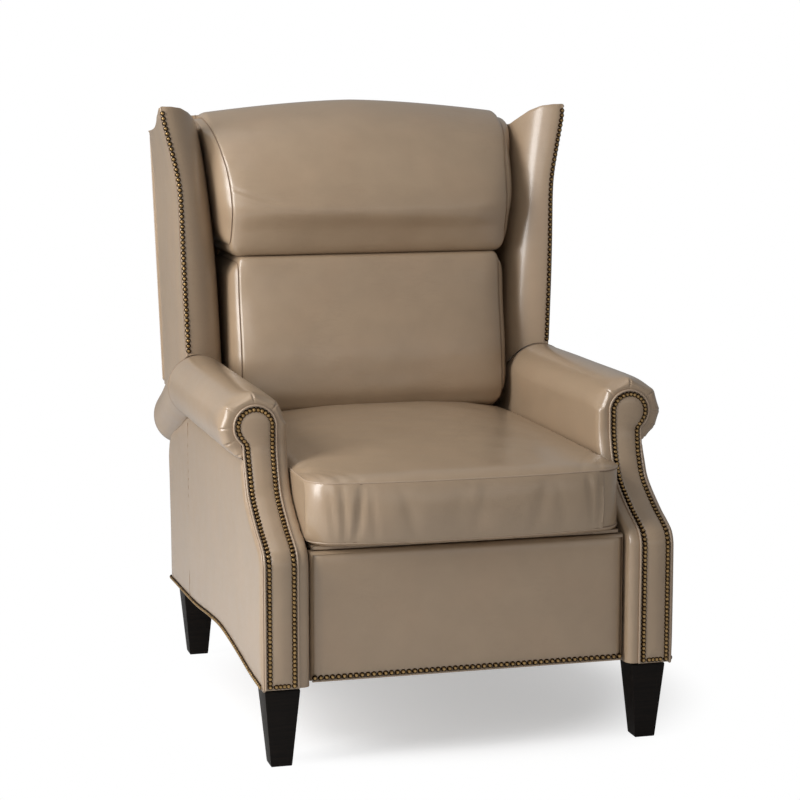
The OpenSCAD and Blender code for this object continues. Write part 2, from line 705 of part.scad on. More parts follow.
// Outline of a back cushion: share of its depth and of its height, from the front foot over the top.
// The upper cushion's leather goes on over the frame to the rear face, at wrap_share.
wrap_share = 1.23;
lower_share = [[0.13, 0], [0.05, 0.035], [0.02, 0.08], [0, 0.15], [0.015, 0.27], [0.035, 0.4], [0.07, 0.55],
               [0.11, 0.69], [0.15, 0.8], [0.2, 0.88], [0.31, 0.96], [0.48, 1], [0.94, 1], [1, 0.96],
               [1, 0.04], [0.95, 0]];
upper_share = [[0.36, 0], [0.25, 0.03], [0.14, 0.1], [0.05, 0.2], [0.01, 0.28], [0, 0.35], [0.015, 0.43],
               [0.05, 0.52], [0.13, 0.64], [0.27, 0.8], [0.4, 0.89], [0.55, 0.955], [0.72, 1], [0.9, 0.99],
               [1.05, 0.975], [1.14, 0.95], [wrap_share, 0.9],
               [wrap_share, wrap_low_share], [1, wrap_low_share], [1, 0.65], [1, 0.45], [1, 0.25], [1, 0.05],
               [0.93, 0]];
lower_front = 218;
lower_bottom = 515;
upper_front = 237;
lower_side_gap = 4;
front_bulge = 12;
end_pull = 22;

// A cushion without a half width of its own fills the space between the wings
function back_ring(s, outline, front, low, high, crown, half) =
  let (f = fullness(s, 8), b = fullness(s, 2.2), mid = (low + high) / 2)
  [for (q = reversed(outline)) let (
      z = lerp(mid, lerp(low, high, q[1]), lerp(0.955, 1, f)) + crown * b * pow(q[1], 3),
      u = (z - wing_foot) / (wing_tip_z - wing_foot),
      rear = rear_at(z) - back_front_d - fit,
      ahead = max(0, 1 - q[0]),
      y = q[0] == wrap_share ? rear_at(z) - panel_back_t - 3 * fit : lerp(front, rear, q[0]))
    [s * (half > 0 ? half : wing_inner(u) - 3 * fit),
     y + end_pull * (1 - f) * ahead - front_bulge * b * ahead * sin(180 * q[1]), z]];

module upper_cushion() at_mid() color(leather) skin([for (s = cushion_x_share)
  back_ring(s, upper_share, upper_front, cushion_joint_z + joint_gap, upper_side_top,
    back_crown, 0)]);

module lower_cushion() at_mid() color(leather) skin([for (s = cushion_x_share)
  back_ring(s, lower_share, lower_front, lower_bottom, cushion_joint_z - joint_gap, 0,
    arm_in - lower_side_gap)]);

outside_n = 12;
outside_lap = 12;
outside_notch = 2;
outside_w = wing_rear_out + outside_lap;

module outside_back() at_mid() leaning() color(leather) along(-panel_back_t, panel_back_t) polygon(concat(
  [[-back_w_low, 0], [back_w_low, 0], [back_w_low, outside_arm_h], [wing_rear_out - outside_notch, outside_arm_h]],
  [for (i = [0:outside_n]) let (s = lerp(1, -1, i / outside_n))
    [s * outside_w, outside_side_h + outside_rise * (1 - pow(abs(s), 2.5))]],
  [[-wing_rear_out + outside_notch, outside_arm_h], [-back_w_low, outside_arm_h]]));

// Footrest linkage: each link lies in its own plane, and each rivet belongs to one link

rivet_head_r = 7;
rivet_head_t = 2;

// Rivet at a point, from x0 out to x1 with a head there, and one with its head at x0
module rivet_out(p, x0, x1) {
  across(x0, x1 - x0) translate(p) circle(rivet_r);
  across(x1, rivet_head_t) translate(p) circle(rivet_head_r);
}
module rivet_in(p, x0, x1) {
  across(x0, x1 - x0) translate(p) circle(rivet_r);
  across(x0 - rivet_head_t, rivet_head_t) translate(p) circle(rivet_head_r);
}
module link_plate(x) across(x, steel_t) children();
module bore(p, gap) across(0, plate_in + pad_t) translate(p) circle(rivet_r + gap);

bar_tube_r = 8;
bar_tube_share = 0.15;

module front_links() at_mid() color(steel) {
  both() {
    link_plate(plane_1) {
      bar(front_pivot, knee, link_w);
      bar(knee, crank_end, link_w);
    }
    rivet_out(front_pivot, plane_1, plate_in + steel_t + fit);
    rivet_in(knee, plane_2 - fit, plane_1);
    rivet_in(crank_end, plane_4 - fit, plane_1);
  }
}

module link_tube() at_mid() color(steel)
  across(-plane_1 + fit, 2 * (plane_1 - fit)) translate(lerp(front_pivot, knee, bar_tube_share)) circle(bar_tube_r);

module rear_links() at_mid() color(steel) both() {
  link_plate(plane_1) bar(rear_pivot, rear_knee, link_w);
  rivet_out(rear_pivot, plane_1, plate_in + steel_t + fit);
  rivet_in(rear_knee, plane_2 - fit, plane_1);
}

module carrier_links() at_mid() color(steel) both() {
  difference() {
    link_plate(plane_2) {
      bar(knee, rear_knee, link_w);
      bar(rear_knee, bracket_low, link_w);
    }
    bore(knee, pin_fit);
    bore(rear_knee, open_fit);
  }
  rivet_in(bracket_low, plane_3 - fit, plane_2);
}

module control_links() at_mid() color(steel) both() difference() {
  link_plate(plane_4) bar(crank_end, bracket_high, link_w);
  bore(crank_end, pin_fit);
  bore(bracket_high, open_fit);
}

rest_board_rear = -rest_front + rest_pad_t + fit + rest_board_t;
flange_w = 28;

module footrest_brackets() at_mid() color(steel) both() {
  difference() {
    link_plate(plane_3) {
      bar(bracket_low, bracket_high, link_w);
      bar([rest_board_rear + fit + link_w / 2, bracket_low[1] - link_w], bracket_low, link_w);
      polygon([[rest_board_rear + fit, bracket_low[1] - link_w], [bracket_low[0], bracket_low[1] - link_w],
        bracket_low, bracket_high, [bracket_high[0], bracket_high[1] + link_w / 2],
        [rest_board_rear + fit, bracket_high[1] + link_w / 2]]);
    }
    bore(bracket_low, pin_fit);
  }
  rivet_in(bracket_high, plane_4 - fit, plane_3);
  translate([plane_3 - flange_w, rest_board_rear + fit, bracket_low[1] - link_w])
    cube([flange_w + steel_t, steel_t, crank_rise + link_w * 1.5]);
}

rest_board_inset = 20;

module footrest_board() at_mid() color(timber)
  translate([-arm_in + rest_board_inset, -rest_front + rest_pad_t + fit, rest_bottom + rest_board_inset / 2])
    cube([2 * (arm_in - rest_board_inset), rest_board_t, rest_top - rest_bottom - rest_board_inset]);

rest_edge_r = 9;

module footrest_pad() at_mid() color(leather) {
  half = arm_in - rest_gap;
  intersection() {
    along(-rest_front, rest_pad_t) translate([-half, rest_bottom]) square([2 * half, rest_top - rest_bottom]);
    across(-half, 2 * half) polygon(concat(
      arc([-rest_front + rest_edge_r, rest_bottom + rest_edge_r], rest_edge_r, 180, 270, 6),
      [[-rest_front + rest_pad_t, rest_bottom], [-rest_front + rest_pad_t, rest_top]],
      arc([-rest_front + rest_edge_r, rest_top - rest_edge_r], rest_edge_r, 90, 180, 6)));
    linear_extrude(seat_seam_z) polygon(concat(
      arc([half - rest_edge_r, -rest_front + rest_edge_r], rest_edge_r, 270, 360, 6),
      [[half, -rest_front + rest_pad_t], [-half, -rest_front + rest_pad_t]],
      arc([-half + rest_edge_r, -rest_front + rest_edge_r], rest_edge_r, 180, 270, 6)));
  }
}

leg_front_left();
leg_front_right();
leg_rear_left();
leg_rear_right();
leg_plates();
leg_bolts();
corner_blocks();
side_rail_left();
side_rail_right();
front_post_left();
front_post_right();
rear_post_left();
rear_post_right();
arm_rail_left();
arm_rail_right();
cross_rail();
rear_rail();
outer_side_left();
outer_side_right();
inner_arm_left();
inner_arm_right();
facing_left();
facing_right();
arm_roll_left();
arm_roll_right();
rear_arm_panels();
lower_back_panel();
glide_track_left();
glide_track_right();
side_plate_left();
side_plate_right();
cross_tube();
glide_shoes();
shoe_bolts();
seat_front_rail();
seat_rear_rail();
seat_side_rails();
seat_springs();
seat_deck();
seat_cushion();
hinge_pins();
back_brackets();
back_posts();
back_rails();
back_springs();
wing_left();
wing_right();
upper_cushion();
lower_cushion();
outside_back();
front_links();
link_tube();
rear_links();
carrier_links();
control_links();
footrest_brackets();
footrest_board();
footrest_pad();
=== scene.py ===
import bpy
import bmesh
import json
import math
from collections import namedtuple
import numpy as np
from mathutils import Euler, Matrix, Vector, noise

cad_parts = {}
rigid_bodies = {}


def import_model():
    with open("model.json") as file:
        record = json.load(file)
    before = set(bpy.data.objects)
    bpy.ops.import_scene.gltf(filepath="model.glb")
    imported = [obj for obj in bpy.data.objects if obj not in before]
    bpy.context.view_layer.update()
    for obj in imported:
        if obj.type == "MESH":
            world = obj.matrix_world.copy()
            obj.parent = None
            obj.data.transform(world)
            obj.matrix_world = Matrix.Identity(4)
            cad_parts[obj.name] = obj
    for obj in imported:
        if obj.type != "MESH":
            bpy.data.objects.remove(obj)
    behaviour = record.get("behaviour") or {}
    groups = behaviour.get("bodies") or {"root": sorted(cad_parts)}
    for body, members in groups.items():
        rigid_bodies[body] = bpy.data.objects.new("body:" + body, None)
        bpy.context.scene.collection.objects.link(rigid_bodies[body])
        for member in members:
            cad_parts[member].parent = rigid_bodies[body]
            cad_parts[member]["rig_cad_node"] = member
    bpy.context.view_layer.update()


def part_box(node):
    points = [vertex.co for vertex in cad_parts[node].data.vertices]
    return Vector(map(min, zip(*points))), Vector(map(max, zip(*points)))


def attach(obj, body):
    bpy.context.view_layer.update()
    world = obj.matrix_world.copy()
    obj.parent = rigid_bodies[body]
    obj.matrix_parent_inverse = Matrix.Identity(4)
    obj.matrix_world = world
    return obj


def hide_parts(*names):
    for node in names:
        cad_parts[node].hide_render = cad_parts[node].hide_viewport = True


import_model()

# The chair's own sizes below are in millimetres. Y starts midway between the front and rear legs.
legs_middle = (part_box("leg_front_left")[0].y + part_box("leg_rear_left")[1].y) / 2
SIDES = ((1, "right"), (-1, "left"))


def metres(points):
    """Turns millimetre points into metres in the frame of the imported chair."""
    points = np.asarray(points, float) / 1000
    points[..., 1] += legs_middle
    return points


# Shapes of lines and tables

def smooth_table(rows):
    """A smooth curve through rows of (place, value, ...), as a function of the place."""
    rows = np.asarray(rows, float)
    x, v = rows[:, 0], rows[:, 1:]
    step = np.diff(x)[:, None]
    slope = np.diff(v, axis=0) / step
    tangent = np.zeros_like(v)
    tangent[0], tangent[-1] = slope[0], slope[-1]
    left, right = slope[:-1], slope[1:]
    same = left * right > 0
    tangent[1:-1] = np.where(same, 2 * left * right / np.where(same, left + right, 1), 0)

    def at(place):
        place = np.clip(np.asarray(place, float), x[0], x[-1])
        i = np.clip(np.searchsorted(x, place, side="right") - 1, 0, len(x) - 2)
        h = step[i, 0]
        t = ((place - x[i]) / h)[..., None]
        h = h[..., None]
        value = ((1 + 2 * t) * (1 - t) ** 2 * v[i] + t * (1 - t) ** 2 * h * tangent[i]
                 + t * t * (3 - 2 * t) * v[i + 1] + t * t * (t - 1) * h * tangent[i + 1])
        return value[..., 0] if v.shape[1] == 1 else value
    return at


def flowing_line(points, count=400):
    """A line that flows through the points, resampled at even steps."""
    p = np.asarray(points, float)
    p = np.vstack([2 * p[0] - p[1], p, 2 * p[-1] - p[-2]])
    t = np.linspace(0, 1, 24, endpoint=False)[:, None]
    out = [0.5 * (2 * b + (c - a) * t + (2 * a - 5 * b + 4 * c - d) * t ** 2 + (3 * b - a - 3 * c + d) * t ** 3)
           for a, b, c, d in zip(p, p[1:], p[2:], p[3:])]
    return even_line(np.vstack(out + [p[-2:-1]]), count)


def reach_along(line):
    """Distance from the start of a line to each of its points."""
    return np.concatenate([[0], np.cumsum(np.linalg.norm(np.diff(line, axis=0), axis=1))])


def read_off(table, places, at):
    """Rows of a table at places between its own."""
    return np.stack([np.interp(at, places, column) for column in np.transpose(table)], axis=-1)


def even_line(line, count):
    reach = reach_along(line)
    return read_off(line, reach, np.linspace(0, reach[-1], count))


def spaced(line, pitch):
    """Points along a line at nearly the pitch."""
    return even_line(line, max(2, round(reach_along(line)[-1] / pitch) + 1))


def coords(*values):
    """Points from their coordinates, where one number stands for a whole column."""
    return np.stack(np.broadcast_arrays(*values), axis=-1)


def unit(x):
    return np.clip(x, 0, 1)


def ramp(x, low, high):
    t = unit((x - low) / (high - low))
    return t * t * (3 - 2 * t)


def bell(x, middle, width):
    return np.exp(-((x - middle) / width) ** 2)


def soft_max(a, b, k):
    return k * np.logaddexp(a / k, b / k)


def puffed(edge, full, soft, dip, sharp):
    """Height of padding at a distance from its edge, with a dip along the edge itself."""
    return full * (1 - np.exp(-edge / soft)) - dip * np.exp(-edge / sharp)


def unevenness(points, size, seed):
    """Slow random waves over the points, between -1 and 1."""
    shift = Vector((seed * 7.3, seed * 3.1, seed * 5.7))
    return np.array([noise.noise(Vector(p) / size + shift) for p in points])


# Making and finishing pieces

def deselect():
    if bpy.context.object and bpy.context.object.mode != "OBJECT":
        bpy.ops.object.mode_set(mode="OBJECT")
    bpy.ops.object.select_all(action="DESELECT")


def pick(piece):
    deselect()
    piece.select_set(True)
    bpy.context.view_layer.objects.active = piece


def points_of(piece):
    co = np.empty(len(piece.data.vertices) * 3)
    piece.data.vertices.foreach_get("co", co)
    return co.reshape(-1, 3)


def move_points(piece, points):
    piece.data.vertices.foreach_set("co", np.asarray(points, float).ravel())
    piece.data.update()


def sheet_of(name, columns, rows):
    """A flat grid of 0..1 by 0..1, ready to be laid over a shape."""
    deselect()
    bpy.ops.mesh.primitive_grid_add(x_subdivisions=columns, y_subdivisions=rows, size=1, location=(0.5, 0.5, 0))
    bpy.ops.object.transform_apply(location=True)
    piece = bpy.context.object
    piece.name = piece.data.name = name
    return piece


def lay(piece, place):
    """Lays the grid over place(u, v), which gives millimetre points."""
    uv = points_of(piece)
    move_points(piece, metres(place(uv[:, 0], uv[:, 1])))


edit = bpy.ops.mesh
FACE_OUT = (edit.normals_make_consistent, {"inside": False})


def in_edit(piece, *steps):
    """Runs (operator, values) steps in edit mode, on the whole piece."""
    pick(piece)
    bpy.ops.object.mode_set(mode="EDIT")
    edit.select_mode(type="VERT")
    edit.select_all(action="SELECT")
    for operator, values in steps:
        operator(**values)
    bpy.ops.object.mode_set(mode="OBJECT")


def join_doubles(piece, distance=0.00005):
    in_edit(piece, (edit.remove_doubles, {"threshold": distance}), (edit.delete_loose, {}), FACE_OUT)


def close_holes(piece):
    """Fills every open loop of edges with faces, and turns all faces outwards."""
    in_edit(piece, (edit.fill_holes, {"sides": 0}),
            (edit.quads_convert_to_tris, {"quad_method": "BEAUTY", "ngon_method": "BEAUTY"}),
            (edit.tris_convert_to_quads, {}), FACE_OUT)


def thicken(piece, outward, thickness, limit=None):
    """Gives a laid sheet its wall, on the side away from outward. A limit draws back corners thrown further."""
    mesh = piece.data
    count = len(mesh.vertices)
    mesh.update()
    middle = sum((f.normal * f.area for f in mesh.polygons), Vector())
    if middle.dot(Vector(outward)) < 0:
        mesh.flip_normals()
    pick(piece)
    wall = piece.modifiers.new("wall", "SOLIDIFY")
    wall.thickness, wall.offset = thickness / 1000, -1
    wall.use_even_offset = wall.use_quality_normals = True
    bpy.ops.object.modifier_apply(modifier=wall.name)
    if limit:
        co = points_of(piece)
        gap = co[count:2 * count] - co[:count]
        far = np.maximum(np.linalg.norm(gap, axis=1), 1e-9)
        co[count:2 * count] += gap * (np.minimum(1.0, limit / 1000 / far) - 1.0)[:, None]
        move_points(piece, co)


def finish_piece(piece, body, stands_for=(), angle=40, material=None):
    piece.data.materials.clear()
    piece.data.materials.append(material or leather)
    pick(piece)
    bpy.ops.object.shade_smooth_by_angle(angle=math.radians(angle))
    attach(piece, body)
    if stands_for:
        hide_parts(*stands_for)
    return piece


def bead(name, body, line, radius, material=None, ring=8, closed=False):
    """A round bead such as a welt, along a line of millimetre points, on a body."""
    deselect()
    data = bpy.data.curves.new(name, "CURVE")
    data.dimensions = "3D"
    spline = data.splines.new("POLY")
    spline.points.add(len(line) - 1)
    for point, place in zip(spline.points, metres(line)):
        point.co = (*place, 1)
    spline.use_cyclic_u = closed
    data.bevel_depth = radius / 1000
    data.bevel_resolution = ring // 2 - 2
    data.use_fill_caps = not closed
    piece = bpy.data.objects.new(name, data)
    bpy.context.scene.collection.objects.link(piece)
    pick(piece)
    bpy.ops.object.convert(target="MESH")
    piece = bpy.context.object
    piece.data.name = name
    join_doubles(piece, 0.00001)
    return finish_piece(piece, body, angle=70, material=material or welt_leather)


def box_piece(name, cuts):
    """A box from -1 to 1 each way, cut into a grid on every face, and the x, y and z of its points."""
    deselect()
    edit.primitive_cube_add(size=1)
    piece = bpy.context.object
    piece.name = piece.data.name = name
    in_edit(piece, (edit.subdivide, {"number_cuts": cuts}))
    return piece, *((points_of(piece) + 0.5) * 2 - 1).T


def shape_box(piece, x, y, z):
    move_points(piece, metres(coords(x, y, z)))


# Effects that several finishes share

class Wiring:
    """Adds nodes to a tree and joins them."""

    def __init__(self, tree):
        self.nodes, self.links = tree.nodes, tree.links

    def add(self, kind, settings=None, **inputs):
        node = self.nodes.new("ShaderNode" + kind)
        for key, value in (settings or {}).items():
            setattr(node, key, value)
        for key, value in inputs.items():
            self.feed(node, key.replace("_", " "), value)
        return node

    def feed(self, node, socket, value):
        target = node.inputs[int(socket[1:])] if socket[0] == "n" and socket[1:].isdigit() else node.inputs[socket]
        if isinstance(value, bpy.types.NodeSocket):
            self.links.new(value, target)
        else:
            target.default_value = value

    def place(self):
        return self.add("TexCoord").outputs["Object"]

    def noise(self, place, scale, detail, **more):
        return self.add("TexNoise", None, Vector=place, Scale=scale, Detail=detail, **more).outputs[0]

    def math(self, operation, a, b=0.0):
        return self.add("Math", {"operation": operation}, n0=a, n1=b).outputs[0]

    def plus(self, a, b):
        return self.math("ADD", a, b)

    def times(self, a, b):
        return self.math("MULTIPLY", a, b)

    def sway(self, value, amount):
        """A noise's swing about its middle."""
        return self.times(self.math("SUBTRACT", value, 0.5), amount)

    def vector(self, operation, a, b):
        return self.add("VectorMath", {"operation": operation}, n0=a, n1=b).outputs[0]

    def mix(self, share, a, b):
        return self.add("Mix", {"data_type": "RGBA"}, n0=share, n6=a, n7=b).outputs[2]

    def span(self, value, low, high):
        return self.add("MapRange", {"interpolation_type": "SMOOTHSTEP"}, n0=value, n1=low, n2=high).outputs[0]

    def bump(self, surface, height, strength, distance):
        bump = self.add("Bump", None, Strength=strength, Distance=distance, Height=height)
        self.feed(surface, "Normal", bump.outputs[0])


def effect(name, inputs, outputs):
    """A shader node group, its wiring, what its input node gives and its output node."""
    group = bpy.data.node_groups.new(name, "ShaderNodeTree")
    for socket, kind, value in inputs:
        made = group.interface.new_socket(name=socket, in_out="INPUT", socket_type="NodeSocket" + kind)
        made.default_value = value
    for socket in outputs:
        kind = "Color" if socket == "Colour" else "Float"
        group.interface.new_socket(name=socket, in_out="OUTPUT", socket_type="NodeSocket" + kind)
    return group, Wiring(group), group.nodes.new("NodeGroupInput").outputs, group.nodes.new("NodeGroupOutput")


def leather_effect():
    """Tone, sheen and fine relief of smooth, lightly waxed leather."""
    group, w, given, out = effect("leather_grain", [
        ("Colour", "Color", (0.4, 0.3, 0.2, 1)), ("Mottling", "Float", 1.0), ("Creases", "Float", 1.0),
        ("Roughness", "Float", 0.4)], ("Colour", "Roughness", "Relief"))
    place = w.place()
    broad = w.noise(place, 5.0, 3.0, Roughness=0.55)
    cloudy = w.noise(place, 26.0, 4.0, Roughness=0.6)
    speck = w.noise(place, 420.0, 2.0, Roughness=0.6)
    tone = w.plus(w.plus(w.sway(broad, 0.34), w.sway(cloudy, 0.26)), w.sway(speck, 0.10))
    tone = w.plus(w.times(tone, given["Mottling"]), 1.0)
    shaded = w.add("HueSaturation", None, Color=given["Colour"], Value=tone).outputs[0]
    warm = w.times(w.span(w.noise(place, 11.0, 2.0), 0.42, 0.68), w.times(given["Mottling"], 0.10))
    shaded = w.mix(warm, shaded, (0.46, 0.27, 0.16, 1))
    folds = w.noise(w.vector("MULTIPLY", place, (0.45, 1.0, 2.1)), 30.0, 2.0, Roughness=0.5, Distortion=1.2)
    line = w.math("SUBTRACT", 1.0, w.span(w.math("ABSOLUTE", w.math("SUBTRACT", folds, 0.5)), 0.0, 0.035))
    few = w.span(w.noise(place, 6.0, 1.0), 0.48, 0.66)
    crease = w.times(w.times(line, few), given["Creases"])
    pebble = w.add("TexVoronoi", {"feature": "SMOOTH_F1"}, Vector=place, Scale=760.0, Smoothness=0.4)
    relief = w.plus(w.times(pebble.outputs["Distance"], 0.22), w.times(w.noise(place, 1500.0, 1.0), 0.12))
    relief = w.math("SUBTRACT", w.plus(relief, w.times(cloudy, 0.9)), w.times(crease, 0.35))
    # Crease lines are also darkened a little in colour: painted shade in the creases.
    w.feed(out, "Colour", w.mix(w.times(crease, 0.07), shaded, (0.20, 0.13, 0.08, 1)))
    w.feed(out, "Roughness", w.plus(w.plus(given["Roughness"], w.sway(cloudy, 0.16)), w.sway(speck, 0.10)))
    w.feed(out, "Relief", relief)
    return group


def timber_effect():
    """Long streaks of wood grain along one axis, with pores."""
    group, w, given, out = effect("timber_grain", [
        ("Dark", "Color", (0.2, 0.1, 0.05, 1)), ("Light", "Color", (0.4, 0.25, 0.12, 1)),
        ("Stretch", "Vector", (1.0, 1.0, 1.0)), ("Scale", "Float", 30.0)], ("Colour", "Relief"))
    place = w.vector("MULTIPLY", w.place(), given["Stretch"])
    streak = w.noise(place, given["Scale"], 6.0, Roughness=0.65, Distortion=0.4)
    fine = w.noise(place, w.times(given["Scale"], 6.0), 3.0, Roughness=0.7)
    share = w.span(w.plus(w.times(streak, 0.7), w.times(fine, 0.3)), 0.34, 0.66)
    w.feed(out, "Colour", w.mix(share, given["Dark"], given["Light"]))
    w.feed(out, "Relief", w.plus(w.times(streak, 0.4), fine))
    return group


def scuff_effect():
    """Faint smears and specks of handling on metal and plastic."""
    group, w, given, out = effect("handling_marks", [
        ("Colour", "Color", (0.1, 0.1, 0.1, 1)), ("Worn", "Color", (0.3, 0.3, 0.3, 1)), ("Amount", "Float", 0.2),
        ("Roughness", "Float", 0.4)], ("Colour", "Roughness", "Relief"))
    place = w.place()
    smear = w.noise(place, 40.0, 5.0, Roughness=0.65)
    share = w.times(w.span(smear, 0.52, 0.72), given["Amount"])
    w.feed(out, "Colour", w.mix(share, given["Colour"], given["Worn"]))
    w.feed(out, "Roughness", w.plus(given["Roughness"], w.sway(smear, 0.3)))
    w.feed(out, "Relief", w.plus(w.times(smear, 0.3), w.times(w.noise(place, 700.0, 2.0), 0.5)))
    return group


def blank(name, **shader):
    """A new material, its wiring and its shader, with the shader's own values set."""
    material = bpy.data.materials.new(name)
    material.use_nodes = True
    w = Wiring(material.node_tree)
    surface = w.nodes["Principled BSDF"]
    for key, value in shader.items():
        surface.inputs[key.replace("_", " ")].default_value = value
    return material, w, surface


def finish(name, group, values, relief, distance, **shader):
    """A material whose colour, roughness and relief come from an effect."""
    material, w, surface = blank(name, **shader)
    made = w.add("Group", {"node_tree": group}, **values).outputs
    w.feed(surface, "Base Color", made["Colour"])
    if "Roughness" in made:
        w.feed(surface, "Roughness", made["Roughness"])
    w.bump(surface, made["Relief"], relief, distance)
    return material


leather_grain, timber_grain, handling_marks = leather_effect(), timber_effect(), scuff_effect()
leather = finish("taupe_leather", leather_grain,
                 dict(Colour=(0.350, 0.252, 0.164, 1), Mottling=0.55, Creases=1.0, Roughness=0.38), 0.35, 0.0008,
                 Specular_IOR_Level=0.5, Coat_Weight=0.7, Coat_Roughness=0.23)
welt_leather = finish("welt_leather", leather_grain,
                      dict(Colour=(0.385, 0.285, 0.200, 1), Mottling=0.4, Creases=0.2, Roughness=0.36), 0.25,
                      0.0005, Specular_IOR_Level=0.5, Coat_Weight=0.15, Coat_Roughness=0.2)
# A dark copy of the leather for the thin beads along seams and folds: painted shade in their grooves.
seam_leather = finish("seam_leather", leather_grain,
                      dict(Colour=(0.21, 0.145, 0.095, 1), Mottling=0.4, Creases=0.0, Roughness=0.5), 0.25, 0.0005,
                      Specular_IOR_Level=0.4)
espresso = finish("espresso_stain", timber_grain,
                  dict(Dark=(0.0022, 0.0014, 0.001, 1), Light=(0.008, 0.005, 0.0034, 1), Stretch=(0.5, 0.5, 12.0),
                       Scale=28.0), 0.3, 0.0006, Roughness=0.5, Specular_IOR_Level=0.14)
hardwood, crosswood, upright_wood = (
    finish("raw_hardwood" + ending, timber_grain,
           dict(Dark=(0.33, 0.19, 0.085, 1), Light=(0.55, 0.37, 0.19, 1), Stretch=stretch, Scale=16.0),
           0.2, 0.0006, Roughness=0.62)
    for ending, stretch in (("", (7.0, 0.6, 7.0)), ("_cross", (0.6, 7.0, 7.0)), ("_upright", (7.0, 7.0, 0.6))))
enamel = finish("black_enamel", handling_marks,
                dict(Colour=(0.028, 0.028, 0.03, 1), Worn=(0.11, 0.105, 0.10, 1), Amount=0.5, Roughness=0.38),
                0.15, 0.0004, Specular_IOR_Level=0.5)
wire = finish("oiled_wire", handling_marks,
              dict(Colour=(0.42, 0.41, 0.40, 1), Worn=(0.20, 0.16, 0.12, 1), Amount=0.8, Roughness=0.34),
              0.15, 0.0003, Metallic=1.0)
nylon = finish("natural_nylon", handling_marks,
               dict(Colour=(0.78, 0.75, 0.66, 1), Worn=(0.42, 0.39, 0.33, 1), Amount=0.6, Roughness=0.45),
               0.1, 0.0003, Subsurface_Weight=0.1)


def cloth_finish():
    """Black woven deck cloth: two crossed sets of threads."""
    material, w, surface = blank("woven_deck_cloth", Roughness=0.85, Sheen_Weight=0.2)
    place = w.place()
    warp, weft = (w.add("TexWave", {"bands_direction": way}, Vector=place, Scale=240.0, Distortion=0.3)
                  for way in "XY")
    thread = w.times(warp.outputs["Fac"], weft.outputs["Fac"])
    share = w.plus(w.times(thread, 0.7), w.times(w.noise(place, 60.0, 4.0), 0.3))
    w.feed(surface, "Base Color", w.mix(share, (0.008, 0.008, 0.009, 1), (0.055, 0.052, 0.05, 1)))
    w.bump(surface, thread, 0.5, 0.001)
    return material


def nail_finish():
    """Antique brass, darker towards the rim and bright at the crown: partly its antique stain, partly a painted
    highlight on the crown and painted shade round the rim. The rise attribute is 0 at the rim and 1 at the crown.
    """
    material, w, surface = blank("antique_brass", Metallic=1.0)
    rise = w.add("Attribute", {"attribute_name": "rise"}).outputs["Fac"]
    stain = w.noise(w.place(), 260.0, 3.0)
    # Share of bright brass: worn crown and painted highlight, with painted shade round the rim.
    bare_and_highlight = w.span(w.plus(rise, w.sway(stain, 0.35)), 0.68, 1.1)
    w.feed(surface, "Base Color", w.mix(bare_and_highlight, (0.020, 0.010, 0.004, 1), (0.60, 0.39, 0.17, 1)))
    w.feed(surface, "Roughness", w.plus(0.22, w.times(stain, 0.14)))
    w.bump(surface, stain, 0.2, 0.0004)
    return material


deck_cloth, brass = cloth_finish(), nail_finish()


# The arm: the facing's front runs back in an S, from its foot to the scroll that closes the roll

HEM_FRONT, FACING_IN, FACING_OUT, SCROLL_X, SCROLL_Z, SCROLL_R = 146.0, 313.5, 371.0, 351.0, 579.5, 38.0
ROLL_X, ROLL_Z, ROLL_R, ROLL_BEND, ROLL_REAR, ROLL_FALL = 355.0, 579.0, 61.0, 245.0, 490.0, 90.0
ARM_IN, ARM_OUT, ARM_REAR = 291.0, 376.0, 473.0
NECK_X, NECK_Z, NECK_ANGLE, ROLL_TURN = 371.5, 519.0, -46, 264
NAIL_R, NAIL_PITCH, NAIL_INSET, NAIL_FOOT = 5.0, 10.4, 7.3, 152.4
sweep_line = flowing_line([(-444, 146), (-444, 220), (-444, 300), (-444, 352), (-443.2, 366), (-439, 377),
                           (-432, 386), (-411, 398), (-384, 411), (-362, 424), (-343, 436), (-326, 448),
                           (-313, 459), (-304, 471), (-297, 486), (-290, 501), (-285, 516), (-281, 530),
                           (-278.5, 545), (-278, 565), (-278, 618)], 900)
sweep_slope = np.gradient(sweep_line, reach_along(sweep_line), axis=0)
sweep_slope /= np.linalg.norm(sweep_slope, axis=1)[:, None]


def sweep_y(z):
    return np.interp(z, sweep_line[:, 1], sweep_line[:, 0])


def sweep_out(z):
    """Direction square to the arm's front at a height: how far it points to the front (-Y) and up."""
    return np.interp(z, sweep_line[:, 1], sweep_slope[:, 1]), np.interp(z, sweep_line[:, 1], sweep_slope[:, 0])


def facing_outer(z):
    neck = np.interp(z, [140, 480, 510, 534, 560], [FACING_OUT, FACING_OUT, 371.4, 372.4, 372.8])
    round_x = SCROLL_X + np.sqrt(np.maximum(SCROLL_R ** 2 - (z - SCROLL_Z) ** 2, 0))
    return np.where(z < 541, neck, np.where(z > SCROLL_Z, round_x, soft_max(neck, round_x, 1.6)))


def facing_inner(z):
    round_x = SCROLL_X - np.sqrt(np.maximum(SCROLL_R ** 2 - (z - SCROLL_Z) ** 2, 0))
    return np.where(z < SCROLL_Z, FACING_IN, round_x)


def fall_at(y):
    return ROLL_FALL * np.maximum((y - ROLL_BEND) / (492 - ROLL_BEND), 0) ** 1.2 + 7 * ramp(y, ROLL_BEND, 340)


def on_side(points, side):
    return np.asarray(points, float) * np.array([side, 1, 1])


def along_front(z, x, proud):
    """A point on the arm's front at a height and width, standing proud of it by some millimetres."""
    ahead, up = sweep_out(z)
    return coords(x, sweep_y(z) - ahead * proud, z + up * proud)


